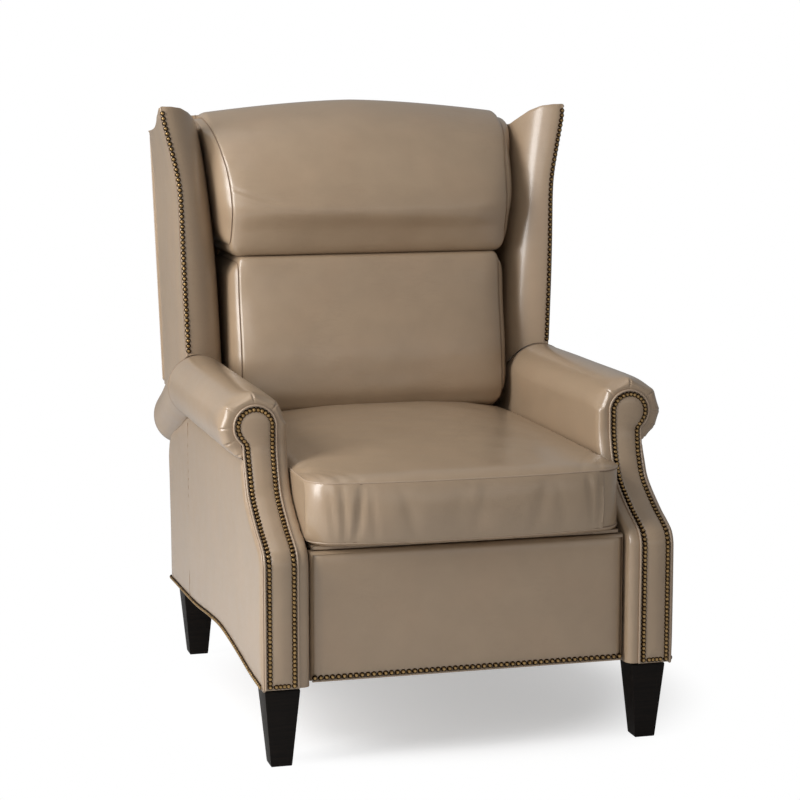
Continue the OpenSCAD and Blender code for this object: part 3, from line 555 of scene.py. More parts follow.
def make_facing(side, word):
    piece, below = sheet_of("facing_" + word, 22, 150), 0.9

    def place(u, v):
        round_z = SCROLL_Z + SCROLL_R * np.sin(unit((v - below) / (1 - below)) * math.pi / 2)
        z = np.where(v < below, HEM_FRONT + v / below * (SCROLL_Z - HEM_FRONT), round_z)
        x = facing_inner(z) + (facing_outer(z) - facing_inner(z)) * (0.5 - 0.5 * np.cos(math.pi * u))
        edge = np.minimum(x - facing_inner(z), facing_outer(z) - x)
        edge = np.where(z > SCROLL_Z, SCROLL_R - np.hypot(x - SCROLL_X, z - SCROLL_Z), edge)
        edge = np.minimum(edge, z - HEM_FRONT + 1)
        puff = 4.6 * (1 - np.exp(-np.maximum(edge - 7, 0) / 9.0)) - 1.8 * np.exp(-edge / 1.8)
        puff += 0.5 * unevenness(coords(x, 0, z), 38, 2 + side) * ramp(edge, 8, 18) - 0.9 * bell(edge, 6.5, 2.6)
        return on_side(along_front(z, x, puff), side)
    lay(piece, place)
    join_doubles(piece)
    thicken(piece, (0, -1, 0), 9)
    finish_piece(piece, "base", ["facing_" + word])


# Pleats round the scroll: angle and depth
PLEATS = ((-60, 0.8), (-33, 1.0), (-2, 1.0), (37, 1.0), (90, 1.0), (137, 1.0), (183, 0.9))


def make_arm_cover(side, word):
    """Inside of the arm and its roll as one skin, gathered in pleats round the scroll."""
    round_n, straight_n, rim_n, along_n, end_n = 210, 56, 14, 84, 8
    piece = sheet_of("arm_cover_" + word, round_n + straight_n, rim_n + along_n + end_n)
    split = straight_n / (round_n + straight_n)
    rim_share, end_share = rim_n / (rim_n + along_n + end_n), end_n / (rim_n + along_n + end_n)

    def place(u, v):
        # the section, as it leaves the facing and as it lies on the arm
        straight = u <= split
        low_z = HEM_FRONT + 1 + (SCROLL_Z - HEM_FRONT - 1) * unit(u / split)
        phi = 180 - ROLL_TURN * unit((u - split) / (1 - split))
        theta = np.radians(np.maximum(phi, NECK_ANGLE))
        neck = unit((NECK_ANGLE - phi) / 26)
        inner_x = np.where(straight, FACING_IN, SCROLL_X + SCROLL_R * np.cos(theta))
        inner_z = np.where(straight, low_z, SCROLL_Z + SCROLL_R * np.sin(theta))
        inner_x, inner_z = inner_x + (NECK_X - inner_x) * neck, inner_z + (NECK_Z - inner_z) * neck
        away_x = np.where(straight, -1.0, np.cos(np.radians(phi)))
        away_z = np.where(straight, 0.0, np.sin(np.radians(phi)))
        outer_x = np.where(straight, ARM_IN, ROLL_X + ROLL_R * away_x - 3.0 * ramp(phi, 60, 180))
        outer_z = np.where(straight, low_z, ROLL_Z + ROLL_R * away_z)
        # pleats hold the skin down, and it lies flat between them
        level = np.where(straight, 0, ramp(-phi, -180, -168))
        hold, facets = np.zeros_like(phi), np.zeros_like(phi)
        for angle, depth in PLEATS:
            hold = np.maximum(hold, depth * (bell(phi, angle, 2.1) - 0.4 * bell(phi, angle + 4.2, 2.4)))
        ends = [180 - ROLL_TURN, *(angle for angle, _ in PLEATS), 226]
        for a, b in zip(ends, ends[1:]):
            half = (b - a) / 2
            chord = 1.2 * ROLL_R * (1 - math.cos(math.radians(half)))
            facets = np.where((phi >= a) & (phi < b), (1 - ((phi - (a + b) / 2) / half) ** 2) * chord, facets)
        hold, facets = hold * level, facets * level
        # the rim turns from the welt round to the arm's side
        turn = unit(v / rim_share) * math.pi / 2
        reach, back = np.sin(turn) ** 0.8, 1 - np.cos(turn) ** 0.8
        rim_depth = np.where(straight, 19.0, 17.0)
        front = sweep_y(inner_z) + 2.0
        tuck = np.where(straight, 0, ramp(-phi, 64, 74))
        y_rim = front + rim_depth * back - 2.0 * np.sin(2 * turn) * (1 - tuck) + 15 * tuck * (1 - back)
        run = unit((v - rim_share) / (1 - rim_share - end_share)) ** 1.35
        rear = np.where(straight, 472 + 18 * ramp(inner_z, 430, 500), ROLL_REAR)
        y = np.where(v <= rim_share, y_rim, front + rim_depth + (rear - 12 - front - rim_depth) * run)
        close = unit((v - 1 + end_share) / end_share) * math.pi / 2
        y = y + 12 * np.sin(close)
        x, z = inner_x + (outer_x - inner_x) * reach, inner_z + (outer_z - inner_z) * reach
        # relief: pleats and gathers, deepest at the rim, slack and the seam
        near = np.exp(-np.maximum(y - front - 13, 0) / 13.0) * bell(turn, 0.9, 0.5)
        knee_fold = np.where(straight, bell(inner_z, 405, 45) + 0.35 * bell(inner_z, 470, 60), 0)
        gather = knee_fold * (0.5 + 0.5 * np.sin(inner_z * 0.93 + 1.4 * np.sin(inner_z * 0.21))) * 1.5
        slack = unevenness(coords(x, y * 0.7, z), 120, 5 + side)
        lift = -hold * 2.4 * near - facets * np.exp(-np.maximum(y - front - 12, 0) / 13.0) * ramp(turn, 0.2, 0.9)
        lift -= gather * ramp(turn, 0.2, 0.8) * np.exp(-np.maximum(y - front - 8, 0) / 9.0)
        lift += 0.6 * slack * ramp(v, rim_share, rim_share + 0.08)
        lift -= 1.6 * bell(y, ROLL_BEND, 1.6) - 0.5 * bell(y, ROLL_BEND, 5)
        lift -= np.where(straight, 0, 8.0 * unit(away_x) * ramp(y, ROLL_BEND + 5, 440))
        x, z = x + away_x * lift, z + away_z * lift
        y = y + hold * 1.5 * bell(turn, 0.8, 0.5) * (v <= rim_share)
        fall = fall_at(y) * np.where(straight, ramp(inner_z, 300, SCROLL_Z), 1)
        z = z - fall
        # the rear end turns in to close the roll
        centre_x = np.where(straight, 322 + (39 - 6 * ramp(z, 424, 480)) * ramp(z, 402, 419), ROLL_X)
        centre_z = np.where(straight, z, ROLL_Z - fall)
        shut = 1 - np.cos(close)
        return on_side(coords(x + (centre_x - x) * shut, y, z + (centre_z - z) * shut), side)
    lay(piece, place)
    join_doubles(piece, 0.0002)
    thicken(piece, (-side, 0, 1), 4, limit=5)
    finish_piece(piece, "base", ["arm_roll_" + word, "inner_arm_" + word])


# Borders of the outside panel, as (y, z)
hem_z = smooth_table([(-445, 146), (-423, 146.5), (-390, 147.5), (-330, 151), (-268, 157), (-168, 165), (-73, 169),
                      (37, 163), (164, 152), (241, 148), (379, 144), (474, 141)])
panel_top = flowing_line([(-282.5, 521.5), (-242, 521.5), (-169, 521), (-26, 520.5), (128, 520), (200, 519.5),
                          (245, 517), (290, 505), (340, 487), (385, 474), (420, 469), (447, 458), (464, 443),
                          (472, 424), (473, 400)], 300)
hem_y, front_z = np.linspace(-443, ARM_REAR, 240), np.linspace(146, 521.5, 240)
hem_line, front_line = coords(hem_y, hem_z(hem_y)), coords(sweep_y(front_z) + 1.0, front_z)
rear_line = coords(ARM_REAR, np.linspace(141, 400, 60))


def along_line(line):
    line = even_line(np.asarray(line, float), 500)
    return lambda t: read_off(line, np.linspace(0, 1, len(line)), t)


def patch(*borders):
    """A surface between its bottom, top, left and right borders, as a function of two shares."""
    bottom, top, left, right = (along_line(line) for line in borders)

    def place(u, v):
        u1, v1 = u[:, None], v[:, None]
        return ((1 - v1) * bottom(u) + v1 * top(u) + (1 - u1) * left(v) + u1 * right(v)
                - (1 - u1) * (1 - v1) * bottom(0) - u1 * (1 - v1) * bottom(1)
                - (1 - u1) * v1 * top(0) - u1 * v1 * top(1))
    return place


def make_outer_side(side, word):
    """The outside of the arm, wrapped round its front edge beside the facing."""
    piece = sheet_of("outer_side_" + word, 120, 70)
    shape, wrap = patch(hem_line, panel_top, front_line, rear_line), 0.012

    def place(u, v):
        along = unit((u - wrap) / (1 - wrap))
        y, z = shape(along, v).T
        edge = np.minimum(np.minimum(v * 360, (1 - v) * 300), (1 - u) * 800)
        slack = unevenness(coords(0, y, z), 110, 9 + side)
        puff = puffed(edge, 3.4, 12.0, 1.6, 2.5) + 1.1 * slack * ramp(edge, 10, 60)
        puff -= 1.0 * bell(y, ROLL_BEND, 1.8) - 0.4 * bell(y, ROLL_BEND, 6)
        front_edge = np.exp(-along * 200)
        x = ARM_OUT + puff * (1 - front_edge) - 4.6 * (1 - unit(u / wrap)) ** 1.6 - 1.0 * front_edge
        return on_side(coords(x, y, z), side)
    lay(piece, place)
    join_doubles(piece)
    thicken(piece, (side, 0, 0), 9, limit=10.5)
    finish_piece(piece, "base", ["outer_side_" + word])


# Brass nails, modelled once and set along lines

def nail_shape(segments=14, rings=5):
    """A unit dome standing on Z: its points, their rise from the rim to the crown, and its faces."""
    tilt = np.radians(np.repeat(np.linspace(0, 90, rings, endpoint=False), segments))
    turn = np.radians(np.tile(90 + np.arange(segments) * 360 / segments, rings))
    dome = coords(np.cos(tilt) * np.cos(turn), np.cos(tilt) * np.sin(turn), np.sin(tilt))
    dome = np.vstack([dome, (0, 0, 1)])
    start, after = np.arange(segments), np.roll(np.arange(segments), -1)
    faces = [tuple(start[::-1].tolist())]
    for low in range(0, (rings - 1) * segments, segments):
        high = low + segments
        faces += coords(start + low, after + low, after + high, start + high).tolist()
    faces += coords(start + high, after + high, rings * segments).tolist()
    return dome * (1, 1, 0.9), dome[:, 2], faces


nail_points, nail_rise, nail_faces = nail_shape()


def nail_row(name, places, outs, body):
    """One piece of nails: a dome at each place, facing its out direction."""
    points, faces = [], []
    for k, (place, out) in enumerate(zip(places, np.broadcast_to(np.asarray(outs, float), places.shape))):
        turn = Vector(out).normalized().to_track_quat("Z", "Y").to_matrix()
        points.append(nail_points @ np.array(turn).T * NAIL_R + place)
        faces += [tuple(i + k * len(nail_points) for i in f) for f in nail_faces]
    mesh = bpy.data.meshes.new(name)
    mesh.from_pydata(metres(np.concatenate(points)).tolist(), [], faces)
    rise = np.tile(nail_rise, len(points)).astype(np.float32)
    mesh.attributes.new("rise", "FLOAT", "POINT").data.foreach_set("value", rise)
    piece = bpy.data.objects.new(name, mesh)
    bpy.context.scene.collection.objects.link(piece)
    finish_piece(piece, body, angle=60, material=brass)


def facing_outline(inset, steps=260):
    """The facing's border as (x, z), moved in: up from its outer foot, round the scroll and down again."""
    up, down = np.linspace(NAIL_FOOT, SCROLL_Z - 28, steps), np.linspace(SCROLL_Z - 2, NAIL_FOOT, steps)
    up = up[up < 549]
    angles, ring = np.radians(np.linspace(-40, 180, 120)), SCROLL_R - inset
    return np.concatenate([coords(facing_outer(up) - inset, up),
                           coords(SCROLL_X + ring * np.cos(angles), SCROLL_Z + ring * np.sin(angles)),
                           coords(facing_inner(down) + inset, down)])


def facing_space(line, side, proud):
    return on_side(along_front(line[:, 1], line[:, 0], proud), side)


def make_facing_trim(side, word):
    line, inset = facing_outline(NAIL_INSET), NAIL_INSET + 10.7
    spots = spaced(np.concatenate([facing_space(line, 1, 0.0), line], axis=1), NAIL_PITCH)[:, 3:]
    foot = coords(np.linspace(FACING_IN + inset, FACING_OUT - inset, 4), NAIL_FOOT)
    spots = np.concatenate([spots, foot])
    ahead, up = sweep_out(spots[:, 1])
    nail_row("facing_nails_" + word, facing_space(spots, side, -0.3), coords(0, -ahead, up), "base")
    edge = facing_outline(-0.2)
    edge = np.concatenate([[[edge[0, 0], 147]], edge, [[edge[-1, 0], 147]]])
    bead("facing_welt_" + word, "base", facing_space(even_line(edge, 420), side, 0.2), 2.1, ring=10)
    heights = np.linspace(147, 515, 200)
    for k, (x, set_back, radius) in enumerate(((374.2, 2.2, 1.5), (376.4, 7.5, 1.1))):
        fold = coords(x, sweep_y(heights) + set_back, heights)
        bead(f"side_fold_{k}_{word}", "base", on_side(fold, side), radius)


def make_side_trim(side, word):
    y = np.linspace(-432, ARM_REAR - 4, 400)
    spots = spaced(coords(ARM_OUT + 0.8, y, hem_z(y) + 4.2), NAIL_PITCH)
    nail_row("hem_nails_" + word, on_side(spots, side), (side, -0.4, -0.1), "base")
    y = np.linspace(-440, ARM_REAR, 300)
    bead("hem_roll_" + word, "base", on_side(coords(ARM_OUT - 2.5, y, hem_z(y) - 1.0), side), 2.6, leather)


def make_arm_seam(side, word):
    """Sewn joint across the arm, from its hem up the outside, round the roll and down the inside, drawn as a thin
    dark bead of painted shade in its groove.
    """
    outer = coords(ARM_OUT + 2.6, np.linspace(hem_z(ROLL_BEND) + 1, 507, 120))
    phi, ring = np.radians(np.linspace(-62, 180, 160)), ROLL_R + 0.1
    ring = coords(ROLL_X + ring * np.cos(phi) - 3 * ramp(np.degrees(phi), 60, 180), ROLL_Z + ring * np.sin(phi))
    inner = coords(ARM_IN + 0.4, np.linspace(576, 480, 40))
    for k, (line, count) in enumerate(((outer, 120), (np.concatenate([ring, inner]), 220))):
        x, z = even_line(line, count).T
        bead(f"arm_seam_{k}_{word}", "base", on_side(coords(x, ROLL_BEND, z), side), 0.8, seam_leather)


for side, word in SIDES:
    for make in (make_arm_seam, make_facing, make_arm_cover, make_outer_side, make_facing_trim, make_side_trim):
        make(side, word)


# The back: wings, cushions and the outside panel lean together

BACK_LEAN, BACK_REAR, BACK_FOOT = math.radians(3.5), 495.0, 285.0
WING_FOOT, WING_TIP, WING_DROP, WING_BACK = 639.0, 1126.0, 56.0, 10.6


def rear_at(z):
    return BACK_REAR + math.tan(BACK_LEAN) * (z - BACK_FOOT)


def wing_inner(t):
    t = np.clip(t, -0.1, 1.1)
    return 297.0 + 14.0 * t + 22.0 * np.maximum(t, 0) ** 3


def wing_turn(deep, share, t):
    """The padded front turns in sooner at the foot of the wing than at its tip."""
    soon = 0.5 + 0.5 * unit(t) ** 2
    turned = np.where(deep < 0.5, deep * soon, 0.5 * soon + (deep - 0.5) * (2 - soon))
    return np.where(share < 0.97, turned, deep)


wing_edge_at = smooth_table([(639, 377.5), (700, 380), (778, 383), (850, 385), (930, 386.8), (964, 388.6),
                             (994, 392.4), (1025, 398.4), (1054, 404.5), (1083, 411), (1102, 415), (1126, 418)])


def wing_outer(t, deep):
    near = wing_edge_at(WING_FOOT + (WING_TIP - WING_FOOT) * t)
    return near + (383.0 + 12 * t + 12 * np.maximum(t, 0) ** 6 - near) * deep


def wing_face(t):
    return 255.0 + 13 * t + 22 * np.maximum(t, 0) ** 4


def wing_under(x, y):
    """Lowest point of a wing, coped over the roll of the arm."""
    over_roll = np.sqrt(np.maximum((ROLL_R + 3.0) ** 2 - (x - ROLL_X) ** 2, 0))
    # higher where the reclining wing passes the roll's rear end
    return np.maximum(ROLL_Z - fall_at(y) + over_roll + 6.0 * bell(y, 416, 30), 549.0 + 14.0 * bell(y, 432, 34))


# Round a wing, from its inner rear corner over the padded front to its outer rear corner: share of its thickness,
# share of its depth, share of the drop of its top edge
front_turn = np.linspace(0, 90, 13)
front_drop = np.interp(front_turn, [0, 15, 30, 45, 60, 75, 90], [0.87, 0.74, 0.5, 0.24, 0.07, 0.01, 0])
wing_inside = np.array([(0, 1, 0.9), (0, 0.85, 0.885), (0, 0.68, 0.875)]
                       + [(0.955 * (1 - math.cos(math.radians(f))), 0.5 * (1 - math.sin(math.radians(f))), d)
                          for f, d in zip(front_turn, front_drop)] + [(0.985, 0.005, 0.03)])
wing_outside = np.array([(1, 0.018, 0.07), (1, 0.06, 0.13), (1, 0.14, 0.25), (1, 0.22, 0.36), (1, 0.3, 0.5),
                         (1, 0.45, 0.7), (1, 0.6, 0.84), (1, 0.8, 0.94), (1, 1, 1)])
wing_rear = flowing_line([(1, 1, 1), (0.66, 1, 0.93), (0.33, 1, 0.87), (0, 1, 0.8)], 12)
wing_round = np.concatenate([flowing_line(wing_inside, 84), flowing_line(wing_outside, 48), wing_rear[1:]])


def wing_share(z):
    return (z - WING_FOOT) / (WING_TIP - WING_FOOT)


def wing_point(share, deep, drop, t):
    deep = wing_turn(deep, share, t)
    rear = rear_at(WING_FOOT + (WING_TIP - WING_FOOT) * t) - WING_BACK
    y = wing_face(t) + (rear - wing_face(t)) * deep
    x = wing_inner(0.0) + (wing_outer(0 * t, deep) - wing_inner(0.0)) * share
    low, high = wing_under(x, y), WING_TIP - WING_DROP * drop
    z = low + (high - low) * t
    u = wing_share(z)
    y = wing_face(u) + (rear_at(z) - WING_BACK - wing_face(u)) * deep
    return coords(wing_inner(u) + (wing_outer(u, deep) - wing_inner(u)) * share, y, z)


def make_wing(side, word):
    count, rise_n, cap_n = len(wing_round) - 1, 90, 7
    piece = sheet_of("wing_" + word, count, rise_n + 2 * cap_n)
    low_share = cap_n / (rise_n + 2 * cap_n)
    high_share = 1 - low_share

    def place(u, v):
        share, deep, drop = read_off(wing_round, np.arange(count + 1), u * count).T
        t = unit((v - low_share) / (high_share - low_share))
        core_deep = np.clip(deep, 0.07, 0.96)
        core_drop = np.interp(core_deep, [0.07, 0.146, 0.25, 0.37, 0.5, 0.68, 0.85, 1],
                              [0.1, 0.21, 0.4, 0.59, 0.76, 0.84, 0.88, 0.9])
        core = wing_point(np.where(t > 0.5, 0.5 + 0.35 * bell(deep, 0, 0.1), 0.52), core_deep, core_drop, t)
        cap = np.maximum(unit((low_share - v) / low_share), unit((v - high_share) / (1 - high_share)))
        turn, wall = cap * math.pi / 2, 1 - cap
        points = wing_point(share, deep, drop, t)
        points += (core - points) * (1 - np.cos(turn))[:, None]
        points[:, 2] += np.where(v > high_share, 2.5 * np.sin(turn), 0)
        points[:, 2] = np.where(v < low_share, wing_under(points[:, 0], points[:, 1]), points[:, 2])
        # padding: fuller between the inner seam and the nails, and on the outside
        slack = unevenness(points * np.array([1, 1, 0.6]), 70, 12 + side)
        outside = (share > 0.99) * ramp(deep, 0.03, 0.25) * ramp(-deep, -1.0, -0.85) * wall
        on_front = bell(share, 0.5, 0.33) * (deep < 0.5) * wall
        inside = (share < 0.02) * (deep < 0.6) * wall
        points[:, 0] += outside * (2.0 + 1.0 * slack) + on_front * 1.2 * slack + 0.8 * slack * inside
        points[:, 1] += 1.1 * bell(share, 0.93, 0.045) * (deep < 0.02) * wall
        return on_side(points, side)
    lay(piece, place)
    join_doubles(piece, 0.0001)
    close_holes(piece)
    finish_piece(piece, "back", ["wing_" + word])
    # nails down the front, a fine fold beside them drawn as a thin dark bead of painted shade, and a welt along the
    # swept top edge
    heights = np.linspace(648, 1113, 400)
    u = wing_share(heights)
    x, y = wing_outer(u, 0.0), wing_face(u)
    spots = spaced(coords(x - 5.4 + 1.2 * ramp(heights, 950, 1100), y + 0.5, heights), 10.25)
    nail_row("wing_nails_" + word, on_side(spots, side), (0.1 * side, -1, 0.02), "back")
    bead("wing_fold_" + word, "back", on_side(coords(x - 0.2, y + 4.0, heights), side), 1.0, seam_leather)
    rim = wing_point(*wing_outside.T, 1.0)
    bead("wing_top_welt_" + word, "back", on_side(flowing_line(rim, 200), side), 1.7, ring=10)


# Outline of each back cushion, as shares of depth and height, from its front foot over the top
LOWER_OUTLINE = [(0.13, 0), (0.05, 0.035), (0.02, 0.08), (0, 0.15), (0.015, 0.27), (0.035, 0.4), (0.07, 0.55),
                 (0.105, 0.69), (0.122, 0.8), (0.133, 0.9), (0.148, 0.968), (0.19, 0.996), (0.36, 1), (0.7, 1),
                 (0.94, 1), (1, 0.96), (1, 0.7), (1, 0.35), (1, 0.04), (0.95, 0), (0.6, 0), (0.3, 0), (0.13, 0)]
UPPER_OUTLINE = [(0.21, 0), (0.13, 0.014), (0.083, 0.065), (0.045, 0.19), (0.01, 0.28), (0, 0.35), (0.015, 0.43),
                 (0.05, 0.52), (0.13, 0.64), (0.27, 0.8), (0.4, 0.89), (0.55, 0.955), (0.72, 1), (0.9, 0.995),
                 (1.05, 0.975), (1.14, 0.95), (1.2, 0.925), (1.228, 0.9), (1.23, 0.86), (1.22, 0.82), (1.16, 0.81),
                 (1, 0.81), (1, 0.65), (1, 0.45), (1, 0.25), (1, 0.05), (0.93, 0), (0.65, 0), (0.21, 0)]


def upper_shape(points, s, q, past):
    x, y, z = points.T
    front = (q[:, 0] < 0.75) * (q[:, 1] < 0.97)
    slack = unevenness(points, 85, 31)
    fine = unevenness(points * np.array([1, 1, 1.6]), 34, 32)
    line = z - 964 + 0.42 * (x + 276) - 0.0016 * np.maximum(x + 276, 0) ** 2
    held = ramp(x, -292, -276) * ramp(-x, 130, 215)
    roll = z - 922 + 0.04 * (x + 240)
    y = y + front * (1.4 * slack + 0.4 * fine + 2.1 * held * bell(line, 0, 2.3) - 1.1 * held * bell(line + 8, 0, 6))
    y = y - front * 3.9 * bell(roll, 0, 19) * ramp(-np.abs(x), -275, -150)
    return coords(x, y + 2.0 * bell((1 - np.abs(s)) * 290 + 14 * past, 0, 2.6) * front, z)


def lower_shape(points, s, q, past):
    x, y, z = points.T
    fine = unevenness(points * np.array([1, 1, 1.4]), 36, 42)
    dip = 2.0 * bell((1 - np.abs(s)) * 275 + 14 * past, 0, 2.6)
    return coords(x, y + (q[:, 0] < 0.6) * (1.4 * unevenness(points, 90, 41) + 0.4 * fine + dip), z)


def wing_side_x(z):
    return wing_inner(wing_share(z)) - 5.0


def upper_seam_x(z):
    return np.interp(z, [820, 850, 885, 922, 968, 1007, 1048, 1082, 1102, 1135],
                     [287, 285, 283, 283, 285, 289, 297, 305, 310, 313])


# A back cushion: its line, the y of its front, its foot and top, the rise of its middle, half its width at the
# seam and at the border, how much the border shrinks, its relief, and the length and points of its side seam
Pad = namedtuple("Pad", "outline front low high crown seam_x side_x border_back shape_more seam_end seam_n")
PADS = {"upper": Pad(UPPER_OUTLINE, 240.0, 829.6, 1109.0, 25.0, upper_seam_x, wing_side_x, 0.34, upper_shape,
                     0.68, 260),
        "lower": Pad(LOWER_OUTLINE, 220.0, 515.0, 831.6, 0.0, lambda z: 270.0, lambda z: 286.0, 0.25, lower_shape,
                     0.52, 220)}
PAD_HALF, PAD_REAR, PAD_TOP_REAR = 290, 55.9, 11.0


def back_pad_point(q, s, pad):
    """A point of a back cushion at outline shares q and share s of its half width."""
    deep, tall = q[:, 0], unit(q[:, 1])
    z = pad.low + (pad.high - pad.low) * q[:, 1] + pad.crown * (1 - np.abs(s) ** 1.55) * tall ** 3
    for radius, share in ((24.0, (1 - tall) ** 9), (-11.0 if pad.crown else -13.0, tall ** 11)):
        over = unit(1 - (1 - np.abs(s)) * PAD_HALF / abs(radius))
        z = z + radius * (1 - np.sqrt(unit(1 - over ** 2))) * share * (deep < 1.02)
    rear = rear_at(z) - PAD_REAR
    ahead = np.maximum(1 - deep, 0)
    y = pad.front + (rear - pad.front) * deep
    y = np.where(deep > 1, rear + (rear_at(z) - PAD_TOP_REAR - rear) * unit((deep - 1) / 0.23), y)
    return y + 10 * np.abs(s) ** 15 * ahead - 13 * (1 - np.abs(s) ** 2.6) * ahead * np.sin(math.pi * tall), z


def make_back_pad(name, pad):
    around, across, border = 330, 96, 9
    line = flowing_line(pad.outline, around + 1)
    piece = sheet_of(name, across + 2 * border, around)

    def place(u, v):
        q = read_off(line, np.arange(around + 1), v * around)
        spread = (u - 0.5) * 2 * (across + 2 * border) / across
        s = np.sin(np.clip(spread, -1, 1) * math.pi / 2)
        past = unit((np.abs(spread) - 1) / (2 * border / across))
        turned = 0.8 * past + 0.2 * (1 - np.cos(past * math.pi / 2))
        shrink = pad.border_back * ramp(-q[:, 0], -1.1, -0.7)
        if pad.crown:
            shrink = shrink * (1 - 0.88 * ramp(q[:, 1], 0.76, 0.96))
        y, z = back_pad_point(q + ((0.55, 0.5) - q) * (turned * shrink)[:, None], s, pad)
        seam = pad.seam_x(z)
        x = s * seam + np.sign(s) * (pad.side_x(z) - seam) * (0.55 * np.sin(past * math.pi / 2) + 0.45 * past)
        return pad.shape_more(coords(x, y, z), s, q, past)
    lay(piece, place)
    join_doubles(piece, 0.0001)
    close_holes(piece)
    finish_piece(piece, "back", [name], angle=60)


def pad_seam(name, pad, side):
    """A welt sewn along a back cushion's side, where its front meets its border, drawn as a thin dark bead of
    painted shade along the seam.
    """
    part = flowing_line(pad.outline, 600)[:int(pad.seam_end * 600)]
    s = np.full(len(part), float(side))
    y, z = back_pad_point(part, s, pad)
    points = pad.shape_more(coords(s * pad.seam_x(z), y, z), s, part, 0)
    points[:, 1] -= 1.0 * (part[:, 0] < 0.8)
    bead(name, "back", even_line(points, pad.seam_n), 1.1, seam_leather)


for side, word in SIDES:
    make_wing(side, word)
for which, pad in PADS.items():
    make_back_pad(which + "_cushion", pad)
for side, word in SIDES:
    for which, pad in PADS.items():
        pad_seam(f"{which}_welt_{word}", pad, side)


# Seat cushion: a boxed pad, its front corners rounded, a seam above and below the border

SEAT_HALF, SEAT_FRONT, SEAT_REAR, SEAT_TOP_SEAM, SEAT_LOW_SEAM, CORNER_R = 288.0, -453.0, 298.0, 501.0, 396.0, 44.0


def seat_front_y(x):
    return SEAT_FRONT + 27.0 * np.abs(x / SEAT_HALF) ** 2.6


def seat_plan(a, b):
    """Turns a square of -1..1 into the cushion's outline seen from above, its front corners rounded."""
    x = a * SEAT_HALF
    from_front = (b + 1) / 2 * (SEAT_REAR - SEAT_FRONT)
    p, q = unit(1 - (SEAT_HALF - np.abs(x)) / CORNER_R), unit(1 - from_front / CORNER_R)
    corner = (p > 0) & (q > 0)
    x = np.where(corner, np.sign(x) * (SEAT_HALF - CORNER_R * (1 - p * np.sqrt(1 - q ** 2 / 2))), x)
    from_front = np.where(corner, CORNER_R * (1 - q * np.sqrt(1 - p ** 2 / 2)), from_front)
    bow = (seat_front_y(x) - SEAT_FRONT) * unit(1 - from_front / 500)
    x = x - 2.6 * ramp(x, 120, SEAT_HALF) * ramp(-from_front, -330, -40)
    return x, SEAT_FRONT + from_front + bow


seat_crown_at = smooth_table([(0, 0), (0.03, 0.14), (0.09, 0.3), (0.2, 0.52), (0.36, 0.74), (0.55, 0.92), (0.72, 1),
                              (0.82, 0.93), (0.88, 0.8), (0.94, 0.5), (1, 0.1)])


def make_seat_cushion():
    piece, a, b, c = box_piece("seat_cushion", 95)
    a = 0.45 * a + 0.55 * np.sin(a * math.pi / 2)
    x, y = seat_plan(a, b)
    deep = (b + 1) / 2
    # distance from the border, for the roll of the edges
    ring = np.minimum(SEAT_HALF - np.abs(x), y - seat_front_y(x))
    corner = (np.abs(x) > SEAT_HALF - CORNER_R) & (y < seat_front_y(x) + CORNER_R)
    corner_d = CORNER_R - np.hypot(np.abs(x) - (SEAT_HALF - CORNER_R), y - seat_front_y(x) - CORNER_R)
    ring = np.maximum(np.where(corner, corner_d, ring), 0)
    crown = 34.0 * seat_crown_at(deep) * (1 - np.abs(a) ** 2.6)
    roll = 1 - np.exp(-ring / 11.0)
    slack, fine = unevenness(coords(x, y, 0), 95, 51), unevenness(coords(x, y * 1.5, 0), 38, 52)
    top = SEAT_TOP_SEAM + 9.0 * roll + crown + (1.8 * slack + 0.5 * fine) * ramp(ring, 5, 60)
    tug = sum(d * bell(x - x0 - t * (y + 430), 0, w) for x0, t, w, d in
              ((-234, -0.5, 5, 2.6), (-207, -0.7, 5, 2.2), (-262, -0.2, 4, 1.6), (205, 0.5, 5, 1.8),
               (238, 0.3, 5, 1.6)))
    top -= tug * ramp(-y, -300, 400) * np.exp(-ring / 40.0) * ramp(ring, 1, 7)
    under = SEAT_LOW_SEAM - 8.0 * (1 - np.exp(-ring / 4.5))
    share = (c + 1) / 2
    side_z = SEAT_LOW_SEAM + (SEAT_TOP_SEAM - SEAT_LOW_SEAM) * share
    z = np.where(c > 0.999, top, np.where(c < -0.999, under, side_z))
    # the border swells between its seams and creases a little near the corners
    border = (np.abs(c) < 0.999) & (ring < 0.5)
    along_border = x + 0.8 * y * np.sign(x)
    crease = sum(d * bell(x + t * (z - 450), x0, w) for x0, t, w, d in
                 ((-232, 0.05, 5.5, 3.2), (-206, -0.12, 6.0, 4.4), (-182, 0.1, 5.5, 1.8), (-252, 0.1, 5, 1.5),
                  (236, -0.06, 5.5, 4.8), (216, 0.1, 5.5, 2.6), (258, 0.0, 5, 1.8), (-120, 0.3, 11, 1.4),
                  (120, -0.3, 12, 1.5), (158, 0.2, 11, 1.2), (10, -0.2, 13, 1.3)))
    wave = unevenness(coords(along_border, 0, z * 0.7), 46, 53)
    bulge = np.sin(math.pi * share)
    swell = 10.5 * bulge ** 0.62 - crease * bulge ** 0.5 + 2.0 * wave * bulge
    out = coords(np.where(np.abs(a) > 0.999, np.sign(a), 0), np.where(b < -0.999, -1.0, 0))
    radial = coords(x - np.sign(x) * (SEAT_HALF - CORNER_R), y - seat_front_y(x) - CORNER_R)
    radial /= np.maximum(np.linalg.norm(radial, axis=1), 1e-6)[:, None]
    out = np.where(corner[:, None], radial, out)
    # the swell stays small beside the arms
    limit = 11.5 - 9.3 * np.where(out[:, 0] > 0, ramp(out[:, 0], 0.55, 0.99), ramp(-out[:, 0], 0.86, 0.99))
    push = np.where(border, np.clip(swell, -3, limit), 0)
    x, y = x + out[:, 0] * push, y + out[:, 1] * push
    shape_box(piece, x, np.minimum(y, SEAT_REAR + 1.5), z)
    finish_piece(piece, "seat", ["seat_cushion"], angle=70)


